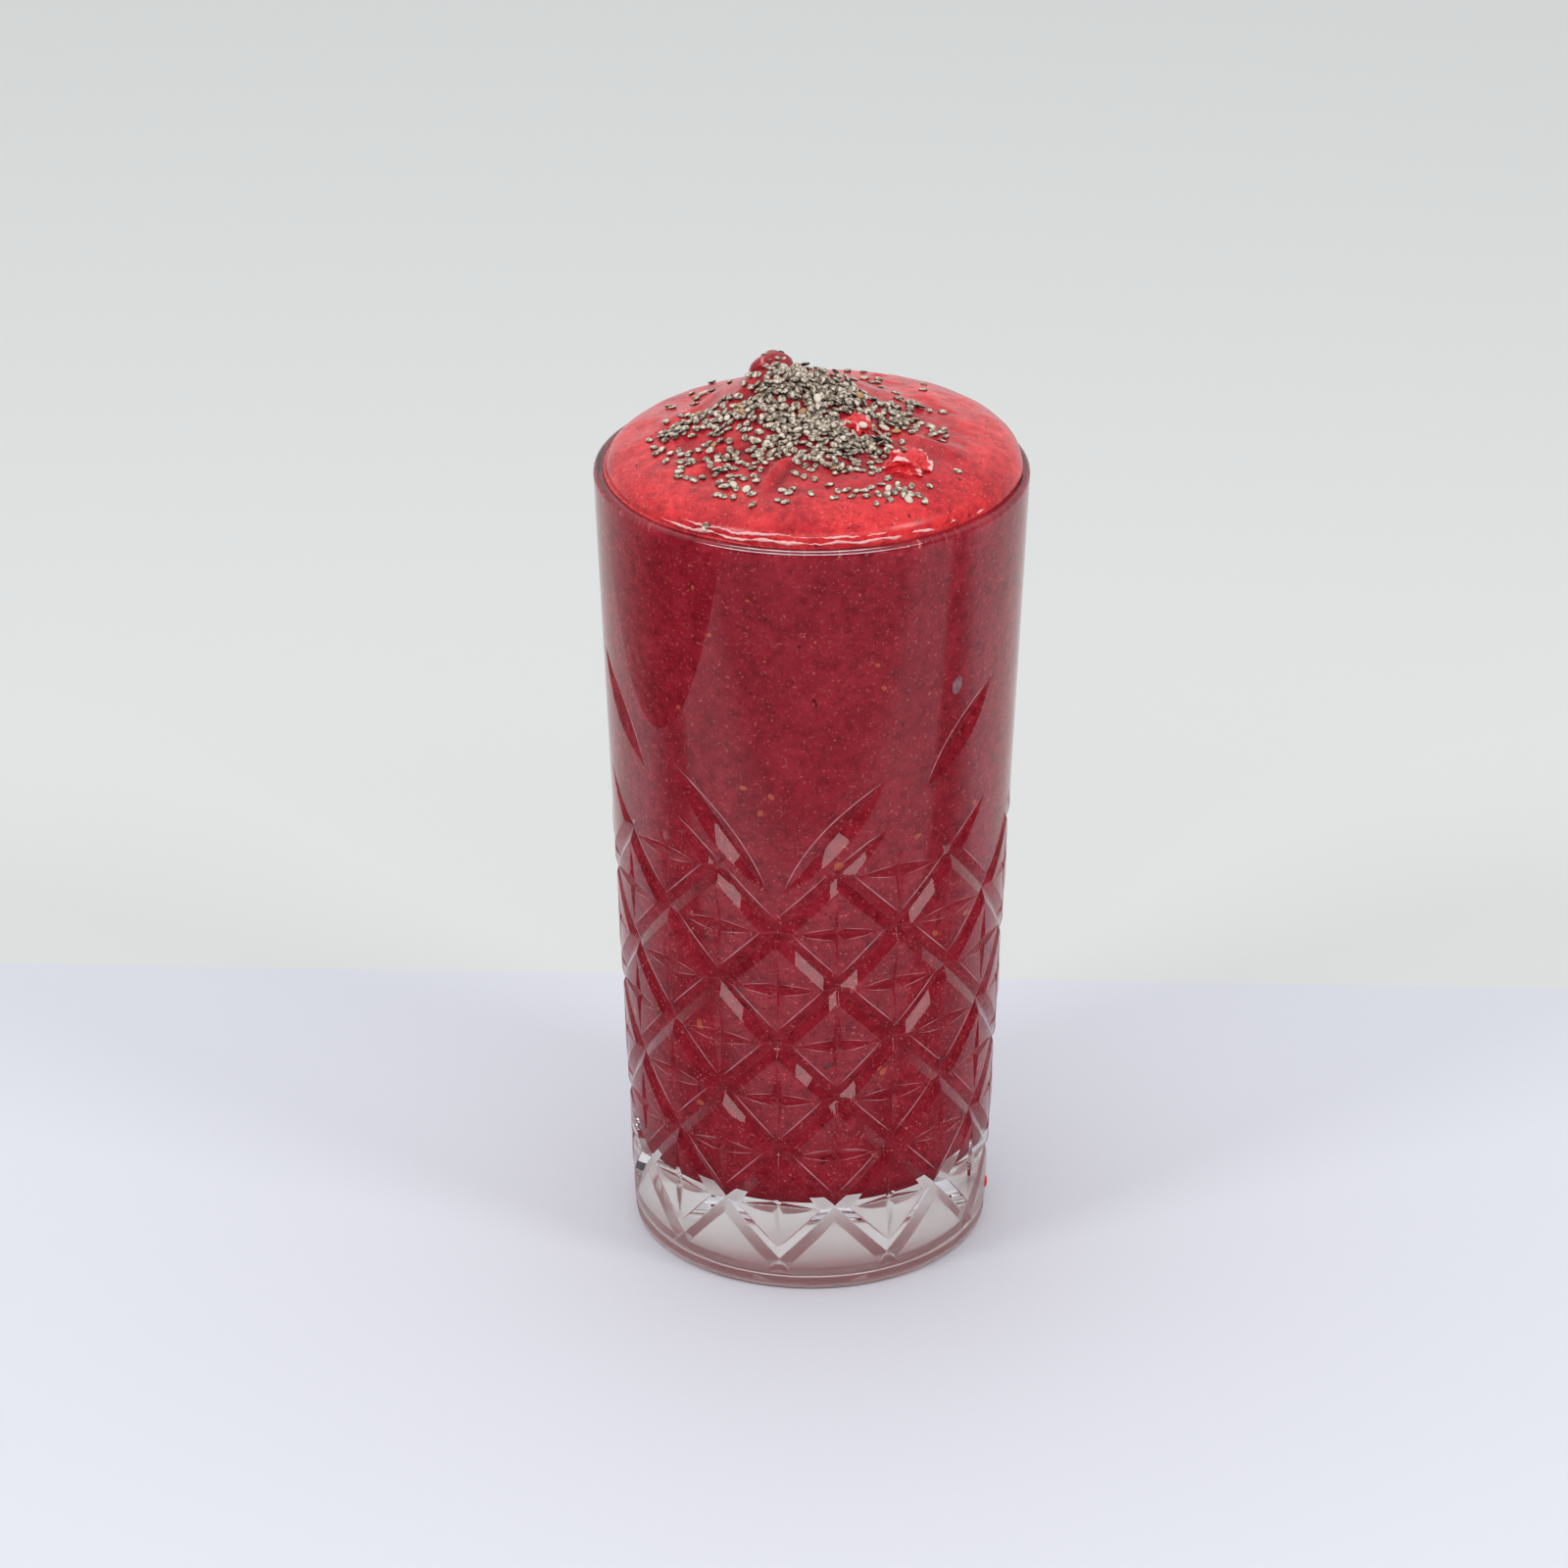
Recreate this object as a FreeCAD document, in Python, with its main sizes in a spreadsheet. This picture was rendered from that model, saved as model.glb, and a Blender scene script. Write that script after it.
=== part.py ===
import FreeCAD, Part
import Sketcher
import math
import os

# A frozen berry drink heaped over the rim of a tall pressed glass.
# Millimetres. The origin is on the table under the glass's axis, +Z points up, and -Y is the front.
# The glass is a turned blank whose wall is dressed into flat panels, a quarter of a pattern column each,
# then cut with V-edged cutters: crossing diagonal grooves, a four-pointed star in every diamond, and
# leaf-shaped cuts that climb in a zigzag above them. Places on the wall are a column number and a height.
# The drink fills the cavity and stands over the rim as a leaning dome with a folded mound and fruit on it.

Vector = FreeCAD.Vector
doc = FreeCAD.newDocument("berry_drink")
sheet = doc.addObject("Spreadsheet::Sheet", "sizes")

SIZES = [
    ("glass_height", 149.6, "table to rim"),
    ("rim_radius", 38.5, "outside of the wall at the rim"),
    ("base_radius", 32.6, "outside of the wall, carried down to the table"),
    ("rim_wall", 2.2, "wall at the rim"),
    ("rim_round", 0.9, "rounding of both rim edges"),
    ("base_wall", 4.4, "wall at the cavity floor"),
    ("floor_height", 15.5, "solid base under the cavity"),
    ("floor_round", 7.0, "rounding of the cavity's lower corner"),
    ("foot_height", 3.2, "table to the start of the cut wall"),
    ("foot_inset", 0.2, "foot bead inside the wall's line"),
    ("bead_height", 1.4, "top of the foot bead"),
    ("bead_chamfer", 1.1, "slope under the foot bead"),
    ("neck_step", 0.6, "neck above the foot bead"),
    ("rest_radius", 24.0, "inner edge of the ring it stands on"),
    ("punt_depth", 0.8, "hollow in the middle of the underside"),
    ("columns", 10, "pattern columns round the glass"),
    ("first_column", -10.3, "degrees from the front to column 0"),
    ("first_crossing", 6.0, "height of the lowest groove crossing"),
    ("crossing_pitch", 22.9, "height between crossings of one column"),
    ("diamond_rows", 3.5, "diamonds from the lowest crossing to the highest"),
    ("panel_top", 121.0, "where the panels start to run out into the round wall"),
    ("panel_flare", 0.9, "how far the panels' planes lean out by the rim"),
    ("groove_width", 4.0, "diagonal groove at the surface"),
    ("groove_depth", 0.9, "diagonal groove"),
    ("star_width", 14.6, "level arms of a star, tip to tip"),
    ("star_height", 15.0, "upright arms of a star, tip to tip"),
    ("level_arm", 2.4, "level arm at its widest"),
    ("upright_arm", 2.0, "upright arm at its widest"),
    ("star_depth", 0.75, "middle of a star"),
    ("leaf_width", 5.0, "leaf cut at its widest"),
    ("leaf_depth", 1.0, "leaf cut at its deepest"),
    ("drink_gap", 0.1, "clearance round the drink's solid"),
    ("heap_radius", 36.7, "dome at the rim"),
    ("edge_height", 5.8, "rounded shoulder of the dome"),
    ("crown_height", 1.8, "dome's middle above its shoulder"),
    ("heap_lean", 0.19, "share by which the dome is higher on the +X side"),
    ("mound_height", 8.0, "mound above the dome"),
    ("mound_reach", 27.0, "radius of the mound"),
    ("mound_across", -4.0, "mound's middle, along X"),
    ("mound_back", 4.0, "mound's middle, along Y"),
    ("fold_height", 0.55, "folds round the mound"),
    ("fruit_gap", 0.05, "clearance between fruit and drink"),
]


def fill_sheet():
    for row, (alias, value, note) in enumerate(SIZES, start=1):
        sheet.set(f"A{row}", alias)
        sheet.set(f"B{row}", str(value))
        sheet.set(f"C{row}", note)
        sheet.setAlias(f"B{row}", alias)
    doc.recompute()


def size(alias):
    return float(sheet.get(alias))


fill_sheet()
COLUMNS = int(size("columns"))
COLUMN_ANGLE = 2 * math.pi / COLUMNS
PANELS_PER_COLUMN = 4
PANEL = 1 / PANELS_PER_COLUMN
ZIGZAG = COLUMNS / 2                    # columns from one valley of the zigzag to the next
OVERSHOOT = 0.5                         # how far a cutter stands out of the wall

# Formulas for the sheet's cells that the sketches share
WALL_AT = "(sizes.base_radius + (sizes.rim_radius - sizes.base_radius) * {0} / sizes.glass_height)"
FLOOR_RADIUS = WALL_AT.format("sizes.floor_height") + " - sizes.base_wall"
BEAD_RADIUS = WALL_AT.format("sizes.foot_height") + " - sizes.foot_inset"


# ---------------------------------------------------------------- turned bodies

def turned_body(name, corners):
    """A body turned about Z from a closed profile, whose corners are pairs of formulas for radius and height."""
    body = doc.addObject("PartDesign::Body", name)
    sketch = body.newObject("Sketcher::SketchObject", name + "_profile")
    plane = [f for f in body.Origin.OriginFeatures if f.Role == "XZ_Plane"][0]
    sketch.AttachmentSupport = [(plane, "")]
    sketch.MapMode = "FlatFace"
    start = [Vector(10 + 3 * index, 5 * index, 0) for index in range(len(corners))]
    for index, point in enumerate(start):
        sketch.addGeometry(Part.LineSegment(point, start[(index + 1) % len(start)]))
    for index in range(len(corners)):
        following = (index + 1) % len(corners)
        sketch.addConstraint(Sketcher.Constraint("Coincident", index, 2, following, 1))
    for index, (radius, height) in enumerate(corners):
        for kind, formula in (("DistanceX", radius), ("DistanceY", height)):
            label = f"corner_{index}_{kind[-1]}"
            number = sketch.addConstraint(Sketcher.Constraint(kind, -1, 1, index, 1, 1.0 + index))
            sketch.renameConstraint(number, label)
            sketch.setExpression(f"Constraints.{label}", formula)
    turn = body.newObject("PartDesign::Revolution", name + "_turn")
    turn.Profile = sketch
    turn.ReferenceAxis = (sketch, ["V_Axis"])
    turn.Angle = 360
    sketch.Visibility = False
    doc.recompute()
    return body, turn


def rounded(body, base, name, radius, places):
    """Round the circular edges of a turned body that lie at the given radii and heights."""
    names = []
    for index, edge in enumerate(base.Shape.Edges, start=1):
        if not isinstance(edge.Curve, Part.Circle):
            continue
        middle = edge.Curve.Center
        for at_radius, at_height in places:
            if abs(edge.Curve.Radius - at_radius) + abs(middle.z - at_height) < 1e-6:
                names.append(f"Edge{index}")
    fillet = body.newObject("PartDesign::Fillet", name)
    fillet.Base = (base, names)
    fillet.setExpression("Radius", radius)
    doc.recompute()
    return fillet


# ---------------------------------------------------------------- places on the wall

def wall_radius(height):
    return size("base_radius") + (size("rim_radius") - size("base_radius")) * height / size("glass_height")


def column_direction(column):
    """The outward direction of a column; whole numbers are columns, quarters are the panels' edges."""
    angle = math.radians(size("first_column")) + column * COLUMN_ANGLE
    return Vector(math.sin(angle), -math.cos(angle), 0)


def ridge_point(column, height, outset=0.0):
    point = column_direction(column) * (wall_radius(height) + outset)
    return point + Vector(0, 0, height)


def wall_point(column, height):
    """A point on the panelled wall and the outward direction there."""
    panel = math.floor(column * PANELS_PER_COLUMN + 1e-9)
    share = column * PANELS_PER_COLUMN - panel
    if share < 1e-6:
        return ridge_point(column, height), column_direction(column)
    left = ridge_point(panel * PANEL, height)
    right = ridge_point((panel + 1) * PANEL, height)
    return left + (right - left) * share, column_direction((panel + 0.5) * PANEL)


# ---------------------------------------------------------------- solids from flat faces

def face(points):
    return Part.Face(Part.makePolygon(points + [points[0]]))


def is_flat(points):
    normal = (points[1] - points[0]).cross(points[2] - points[0])
    return abs((points[3] - points[0]).dot(normal.normalize())) < 1e-7


def closed_solid(faces):
    solid = Part.Solid(Part.Shell(faces))
    if solid.Volume < 0:
        solid.reverse()
    return solid


def solid_through(sections):
    """A solid through sections that have the same number of corners."""
    faces = [face(sections[0]), face(sections[-1])]
    for near, far in zip(sections, sections[1:]):
        for index in range(len(near)):
            after = (index + 1) % len(near)
            quad = [near[index], near[after], far[after], far[index]]
            if is_flat(quad):
                faces.append(face(quad))
            else:
                faces.append(face([quad[0], quad[1], quad[2]]))
                faces.append(face([quad[0], quad[2], quad[3]]))
    return closed_solid(faces)


def panelled_block():
    """What the panels leave of the wall: ridges on the wall's cone, leaning out of it above panel_top."""
    heights = [(size("foot_height"), 0.0), (size("panel_top"), 0.0)]
    heights.append((size("glass_height") + 5.0, size("panel_flare")))
    ring = [index * PANEL for index in range(COLUMNS * PANELS_PER_COLUMN)]
    sections = [[ridge_point(column, height, outset) for column in ring] for height, outset in heights]
    return solid_through(sections)


# ---------------------------------------------------------------- V-edged cutters

def v_section(column, height, depth, slope, across):
    """A V pointing into the wall: depth under the surface, and slope its half width for each mm of depth."""
    point, outward = wall_point(column, height)
    half = (depth + OVERSHOOT) * slope
    top = point + outward * OVERSHOOT
    return [point - outward * depth, top + across * half, top - across * half]


def up_the_wall(column, height):
    return (ridge_point(column, height + 1) - ridge_point(column, height)).normalize()


def groove(start, hand):
    """One diagonal groove, from the foot below a column's lowest crossing up to the zigzag; hand is 1 or -1."""
    pitch = size("crossing_pitch")
    low = size("first_crossing")
    rows = size("diamond_rows")
    slope = size("groove_width") * math.sqrt(0.5) / size("groove_depth")
    climbs = (start + hand * rows) % ZIGZAG
    past_valley = min(climbs, ZIGZAG - climbs) < 2 and (climbs < ZIGZAG / 2) == (hand == 1)
    steps = [(-0.125, -0.2)]
    steps += [(index * PANEL, 1.0) for index in range(int(rows / PANEL) + 1)]
    if past_valley:
        steps += [(rows + PANEL, 0.55), (rows + 1.55 * PANEL, -0.1)]
    else:
        steps += [(rows + 0.5 * PANEL, -0.2)]
    sections = []
    for rise, share in steps:
        column = start + hand * rise
        height = low + rise * pitch
        across = up_the_wall(column, height)
        sections.append(v_section(column, height, share * size("groove_depth"), slope, across))
    return solid_through(sections)


def star_centres():
    """Middles of the diamonds: three rows and a half, and the open diamonds beside each valley."""
    pitch = size("crossing_pitch")
    rows = int(2 * size("diamond_rows"))
    for row in range(rows):
        height = size("first_crossing") + (row + 1) * pitch / 2
        for index in range(COLUMNS):
            column = index + (row % 2) / 2
            beside_valley = (column % ZIGZAG) in (1, ZIGZAG - 1)
            if row < rows - 1 or beside_valley:
                yield column, height, row == rows - 1


def level_arm(column, height):
    """The level arm of a star: a straight V bar that the curved wall leaves at both tips."""
    point, outward = wall_point(column, height)
    along = Vector(0, 0, 1).cross(outward)
    slope = size("level_arm") / 2 / size("star_depth")
    section = v_section(column, height, size("star_depth"), slope, Vector(0, 0, 1))
    reach = along * (size("star_width") / 2 + 1)
    return solid_through([[corner + reach * side for corner in section] for side in (-1, 1)])


def upright_arm(column, height, is_open):
    """The upright arm of a star, deepest in the middle; an open star has only its lower half."""
    across = Vector(0, 0, 1).cross(column_direction(column))
    slope = size("upright_arm") / 2 / size("star_depth")
    half = size("star_height") / 2
    upper = 0.2 if is_open else 1.1
    sections = []
    for share, depth in ((-1.1, -0.1), (0.0, 1.0), (upper, -0.1)):
        at = height + share * half
        sections.append(v_section(column, at, depth * size("star_depth"), slope, across))
    return solid_through(sections)


LEAVES = [
    # column and height of the lower tip, and of the upper tip, counted from a valley
    (0.06, 83.0, 0.86, 104.6),
    (1.21, 101.5, 1.88, 118.0),
]


def leaf(valley, hand, tips):
    """A leaf-shaped cut between two tips, deepest halfway."""
    column_low, height_low, column_high, height_high = tips
    slope = size("leaf_width") / 2 / size("leaf_depth")
    stops = [column_low, column_high]
    stops += [index * PANEL for index in range(12) if column_low < index * PANEL < column_high]
    sections = []
    for stop in sorted(stops):
        share = (stop - column_low) / (column_high - column_low)
        height = height_low + share * (height_high - height_low)
        column = valley + hand * stop
        depth = size("leaf_depth") * (1 - (2 * share - 1) ** 2) - 0.02
        run = (ridge_point(column + hand * 0.1, height + 2.3) - ridge_point(column, height)).normalize()
        across = run.cross(wall_point(column, height)[1]).normalize()
        sections.append(v_section(column, height, depth, slope, across))
    return solid_through(sections)


def cutter_set(name, solids):
    """Cutters of one kind, which never touch one another, as one object."""
    tool = doc.addObject("Part::Feature", name)
    tool.Shape = Part.Compound(solids)
    return tool


def cut(name, base, tool):
    result = doc.addObject("Part::Cut", name)
    result.Base = base
    result.Tool = tool
    return result


# ---------------------------------------------------------------- heap and fruit

def folded_mound(across, back):
    """Height that the mound adds to the dome, with folds that wind round it."""
    over = Vector(across - size("mound_across"), back - size("mound_back"), 0)
    share = min(over.Length / size("mound_reach"), 1.0)
    hill = (1 + math.cos(math.pi * share)) / 2
    turn = math.atan2(over.y, over.x)
    fold = math.sin(4 * turn + 9 * share) * math.sin(math.pi * share)
    return size("mound_height") * hill ** 1.3 + size("fold_height") * fold


def heap_height(across, back):
    """Height of the drink's surface over the rim."""
    share = min(math.hypot(across, back) / size("heap_radius"), 1.0)
    shoulder = size("edge_height") * (1 - share ** 6) ** 0.42
    crown = size("crown_height") * (1 - share ** 2)
    lean = 1 + size("heap_lean") * across / size("heap_radius")
    return (shoulder + crown) * lean + folded_mound(across, back) * (1 - share ** 6)


def heap_solid(sectors=40, rings=14):
    """The heap over the rim, from rings of points that crowd towards its steep edge."""
    foot = size("glass_height") + size("drink_gap")
    grid = []
    for ring in range(1, rings + 1):
        radius = size("heap_radius") * math.sin(math.pi / 2 * ring / rings)
        circle = []
        for sector in range(sectors):
            angle = 2 * math.pi * sector / sectors
            across = radius * math.cos(angle)
            back = radius * math.sin(angle)
            rise = heap_height(across, back) if ring < rings else 0.0
            circle.append(Vector(across, back, foot + rise))
        grid.append(circle)
    top = Vector(0, 0, foot + heap_height(0, 0))
    faces = [face(grid[-1])]
    for sector in range(sectors):
        after = (sector + 1) % sectors
        faces.append(face([top, grid[0][sector], grid[0][after]]))
        for inner, outer in zip(grid, grid[1:]):
            faces.append(face([inner[sector], outer[sector], outer[after]]))
            faces.append(face([inner[sector], outer[after], inner[after]]))
    return closed_solid(faces)


FRUIT = [
    # name, place across and back, how far its middle stands out of the drink, and half sizes
    ("fruit_peak", -6.6, 6.0, 0.2, (3.7, 3.4, 3.6)),
    ("fruit_fold", 7.3, -7.2, -0.3, (2.9, 2.8, 2.2)),
    ("fruit_side", 16.3, -16.6, -0.3, (4.1, 4.0, 2.4)),
]


def fruit_solid(across, back, stand, half_sizes, outset=0.0, sectors=10, rings=6):
    """A torn piece of fruit: a pebble with three soft ribs that wind up it."""
    middle = Vector(across, back, size("glass_height") + heap_height(across, back) + stand)

    def point(ring, sector):
        tilt = math.pi * ring / rings
        turn = 2 * math.pi * sector / sectors
        rib = 1 + 0.10 * math.cos(3 * turn + 2 * tilt) * math.sin(tilt)
        reach = [(half + outset) * rib for half in half_sizes]
        return middle + Vector(reach[0] * math.sin(tilt) * math.cos(turn),
                               reach[1] * math.sin(tilt) * math.sin(turn),
                               (half_sizes[2] + outset) * math.cos(tilt))

    faces = []
    for sector in range(sectors):
        faces.append(face([point(0, 0), point(1, sector), point(1, sector + 1)]))
        faces.append(face([point(rings, 0), point(rings - 1, sector + 1), point(rings - 1, sector)]))
        for ring in range(1, rings - 1):
            faces.append(face([point(ring, sector), point(ring + 1, sector), point(ring + 1, sector + 1)]))
            faces.append(face([point(ring, sector), point(ring + 1, sector + 1), point(ring, sector + 1)]))
    return closed_solid(faces)


# ---------------------------------------------------------------- glass

def build_glass():
    inner_rim = "sizes.rim_radius - sizes.rim_wall"
    blank, turn = turned_body("glass_blank", [
        ("0", "sizes.punt_depth"),
        ("sizes.rest_radius", "0"),
        (BEAD_RADIUS + " - sizes.bead_chamfer", "0"),
        (BEAD_RADIUS, "sizes.bead_chamfer * 0.6"),
        (BEAD_RADIUS, "sizes.bead_height"),
        (BEAD_RADIUS + " - sizes.neck_step", "(sizes.bead_height + sizes.foot_height) / 2"),
        (WALL_AT.format("sizes.foot_height"), "sizes.foot_height"),
        ("sizes.rim_radius", "sizes.glass_height"),
        (inner_rim, "sizes.glass_height"),
        (FLOOR_RADIUS, "sizes.floor_height"),
        ("0", "sizes.floor_height"),
    ])
    floor_radius = wall_radius(size("floor_height")) - size("base_wall")
    floor = rounded(blank, turn, "cavity_floor_round", "sizes.floor_round",
                    [(floor_radius, size("floor_height"))])
    rounded(blank, floor, "rim_round", "sizes.rim_round",
            [(size("rim_radius"), size("glass_height")),
             (size("rim_radius") - size("rim_wall"), size("glass_height"))])

    panels = doc.addObject("Part::Feature", "wall_panels")
    panels.Shape = panelled_block()
    foot = doc.addObject("Part::Cylinder", "foot_block")
    foot.setExpression("Radius", "sizes.rim_radius")
    foot.setExpression("Height", "sizes.foot_height")
    kept = doc.addObject("Part::Fuse", "kept_by_panels")
    kept.Base = panels
    kept.Tool = foot
    panelled = doc.addObject("Part::Common", "panelled_glass")
    panelled.Base = blank
    panelled.Tool = kept

    stars = list(star_centres())
    cutters = [
        ("right_grooves", [groove(column, 1) for column in range(COLUMNS)]),
        ("left_grooves", [groove(column, -1) for column in range(COLUMNS)]),
        ("level_arms", [level_arm(column, height) for column, height, is_open in stars]),
        ("upright_arms", [upright_arm(column, height, is_open) for column, height, is_open in stars]),
        ("leaves", [leaf(valley, hand, tips) for valley in (0, ZIGZAG) for hand in (1, -1) for tips in LEAVES]),
    ]
    glass = panelled
    for name, solids in cutters:
        glass = cut("glass_with_" + name, glass, cutter_set(name, solids))
    glass.Label = "glass"
    return glass


# ---------------------------------------------------------------- drink and fruit

def build_drink():
    gap = " - sizes.drink_gap"
    top = "sizes.glass_height + 2 * sizes.drink_gap"
    fill, turn = turned_body("drink_in_glass", [
        ("0", "sizes.floor_height + sizes.drink_gap"),
        (FLOOR_RADIUS + gap, "sizes.floor_height + sizes.drink_gap"),
        ("sizes.rim_radius - sizes.rim_wall" + gap, "sizes.glass_height"),
        ("sizes.rim_radius - sizes.rim_wall" + gap, top),
        ("0", top),
    ])
    floor_radius = wall_radius(size("floor_height")) - size("base_wall") - size("drink_gap")
    rounded(fill, turn, "drink_floor_round", "sizes.floor_round",
            [(floor_radius, size("floor_height") + size("drink_gap"))])
    heap = doc.addObject("Part::Feature", "heap")
    heap.Shape = heap_solid()
    whole = doc.addObject("Part::Fuse", "drink_and_heap")
    whole.Base = fill
    whole.Tool = heap
    sockets = [fruit_solid(across, back, stand, half, outset=size("fruit_gap"))
               for name, across, back, stand, half in FRUIT]
    drink = cut("drink_round_fruit", whole, cutter_set("fruit_sockets", sockets))
    drink.Label = "drink"
    return drink


def build_fruit():
    pieces = []
    for name, across, back, stand, half in FRUIT:
        piece = doc.addObject("Part::Feature", name)
        piece.Shape = fruit_solid(across, back, stand, half)
        piece.Label = name
        pieces.append(piece)
    return pieces


parts = [build_glass(), build_drink()] + build_fruit()
doc.recompute()

for item in doc.Objects:
    faults = [state for state in item.State if state in ("Invalid", "Error")]
    if faults:
        raise RuntimeError(f"{item.Name}: {faults}")
for item in parts:
    if item.Shape.isNull() or not item.Shape.isValid() or not item.Shape.Solids:
        raise RuntimeError(f"{item.Label}: its solid is not valid")

os.makedirs("parts", exist_ok=True)
for item in parts:
    item.Shape.exportStep(f"parts/{item.Label}.step")
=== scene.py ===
import bpy
import random
import numpy as np
from math import acos, atan2, cos, exp, hypot, pi, radians, sin, sqrt, tan
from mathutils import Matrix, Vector, noise
from mathutils.geometry import delaunay_2d_cdt


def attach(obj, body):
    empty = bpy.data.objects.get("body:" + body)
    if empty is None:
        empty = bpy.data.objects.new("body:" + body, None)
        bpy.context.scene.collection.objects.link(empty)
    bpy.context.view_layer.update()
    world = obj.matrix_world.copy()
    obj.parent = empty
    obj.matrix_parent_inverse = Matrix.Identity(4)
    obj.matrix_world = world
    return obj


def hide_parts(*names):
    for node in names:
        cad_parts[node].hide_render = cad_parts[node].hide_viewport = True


# A frozen berry drink heaped over the rim of a cut glass. Lengths are millimetres in the CAD frame, turned into
# metres where a mesh is made. +Z is up, -Y is the front, and turns count from the front towards +X.

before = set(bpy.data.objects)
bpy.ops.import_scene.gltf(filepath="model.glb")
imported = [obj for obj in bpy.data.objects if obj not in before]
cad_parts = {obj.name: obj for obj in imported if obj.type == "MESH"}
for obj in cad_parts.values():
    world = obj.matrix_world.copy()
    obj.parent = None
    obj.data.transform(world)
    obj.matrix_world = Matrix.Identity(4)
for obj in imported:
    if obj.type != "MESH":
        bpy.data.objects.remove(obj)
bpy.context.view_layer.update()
MM = 0.001

# ---- sizes shared with the solids

GLASS_HEIGHT = 149.6
RIM_RADIUS = 38.5
BASE_RADIUS = 32.6
RIM_WALL = 2.2
RIM_ROUND = 0.9
BASE_WALL = 4.4
FLOOR_HEIGHT = 15.5
FLOOR_ROUND = 7.0
FOOT_HEIGHT = 3.2
FOOT_INSET = 0.2
BEAD_HEIGHT = 1.4
BEAD_CHAMFER = 1.1
NECK_STEP = 0.6
REST_RADIUS = 24.0
PUNT_DEPTH = 0.8
COLUMNS = 10
FIRST_COLUMN = radians(-10.3)
COLUMN_ANGLE = 2 * pi / COLUMNS
FIRST_CROSSING = 6.0
CROSSING_PITCH = 22.9
DIAMOND_ROWS = 3.5
ZIGZAG = 5  # columns from one valley of the zigzag to the next
GROOVE_WIDTH, GROOVE_DEPTH = 4.0, 0.9
STAR_WIDTH, STAR_HEIGHT, STAR_DEPTH = 14.6, 15.0, 0.75
LEVEL_ARM, UPRIGHT_ARM = 2.4, 2.0
LEAF_WIDTH, LEAF_DEPTH = 5.0, 1.0
LEAVES = [(0.06, 83.0, 0.86, 104.6), (1.21, 101.5, 1.88, 118.0)]
CUT_TOP = 120.0  # the wall is plain above this height
COLUMN_WIDTH = 22.3  # a column's width on the unrolled wall
HEAP_RADIUS = 36.7
EDGE_HEIGHT = 5.8
CROWN_HEIGHT = 1.8
HEAP_LEAN = 0.19
MOUND, MOUND_HEIGHT, MOUND_REACH = (-4.0, 4.0), 8.0, 27.0
FOLD_HEIGHT = 0.55
FRUIT = [
    # name, middle across and back, how far it stands up, half sizes, place in the noise, depth of its pleats
    ("fruit_peak", -6.6, 6.0, 0.2, (3.7, 3.4, 3.6), 11, 0.012),
    ("fruit_fold", 7.3, -7.2, -0.3, (2.9, 2.8, 2.2), 23, 0.16),
    ("fruit_side", 16.3, -16.6, -0.3, (4.1, 4.0, 2.4), 31, 0.16),
]


def wall_radius(z):
    return BASE_RADIUS + (RIM_RADIUS - BASE_RADIUS) * z / GLASS_HEIGHT


FLOOR_RADIUS = wall_radius(FLOOR_HEIGHT) - BASE_WALL
BEAD_RADIUS = wall_radius(FOOT_HEIGHT) - FOOT_INSET
AXIS = 0.01  # radius of the innermost ring of a turned surface


# ---- meshes

def link(mesh, name):
    piece = bpy.data.objects.new(name, mesh)
    bpy.context.scene.collection.objects.link(piece)
    return piece


def make_mesh(name, points, faces, normals=None, **values):
    """A smooth mesh from millimetre points, with its own normals and a number for each point where given."""
    mesh = bpy.data.meshes.new(name)
    mesh.from_pydata((np.asarray(points, float) * MM).tolist(), [], [list(map(int, f)) for f in faces])
    mesh.update()
    mesh.shade_smooth()
    if normals is not None:
        mesh.normals_split_custom_set_from_vertices(np.asarray(normals, float).tolist())
    for attribute, numbers in values.items():
        mesh.attributes.new(attribute, "FLOAT", "POINT").data.foreach_set("value", numbers)
    return link(mesh, name)


UP = Vector((0, 0, 1))


def noise_at(x, y, z):
    return noise.noise(Vector((x, y, z)))


def facing(turn):
    """The level direction away from the glass's axis at a turn in radians."""
    return Vector((sin(turn), -cos(turn), 0))


def circle(middle, first, second, size, around):
    """A ring of points that starts in the first direction and turns towards the second."""
    turns = [2 * pi * j / around for j in range(around)]
    return [middle + first * (size * cos(a)) + second * (size * sin(a)) for a in turns]


def neighbours(count, around, first=0):
    """Numbers of points side by side on each ring but the last, from the first one's on."""
    for start in range(first, count - around, around):
        for k in range(around):
            yield start + k, start + (k + 1) % around


def tube(rings, hand=1):
    """Points and faces of a closed tube through rings; hand is the way round that they run, 1 or -1."""
    around = len(rings[0])
    points = [p for ring in rings for p in ring]
    faces = [[a, *(b, b + around, a + around)[::hand]] for a, b in neighbours(len(points), around)]
    ends = list(range(around))[::-hand], list(range(len(points) - around, len(points)))[::hand]
    return points, [*faces, *ends]


def joined(parts):
    """Points and faces of several meshes as one."""
    points, faces = [], []
    for more, more_faces in parts:
        faces += [[len(points) + k for k in f] for f in more_faces]
        points += more
    return points, faces


def rounding(corner, before, after, radius, steps):
    """Points of a rounding between two straight runs of a profile."""
    corner, before, after = (np.array(p, float) for p in (corner, before, after))
    to_before = (before - corner) / np.linalg.norm(before - corner)
    to_after = (after - corner) / np.linalg.norm(after - corner)
    half = acos(float(np.clip(to_before @ to_after, -1, 1))) / 2
    reach = radius / tan(half)
    middle_way = (to_before + to_after) / np.linalg.norm(to_before + to_after)
    centre = corner + middle_way * radius / sin(half)
    a = atan2(*(corner + to_before * reach - centre)[::-1])
    b = atan2(*(corner + to_after * reach - centre)[::-1])
    turn = (b - a + pi) % (2 * pi) - pi
    turns = [a + turn * i / steps for i in range(steps + 1)]
    return [centre + radius * np.array([cos(t), sin(t)]) for t in turns]


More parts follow.
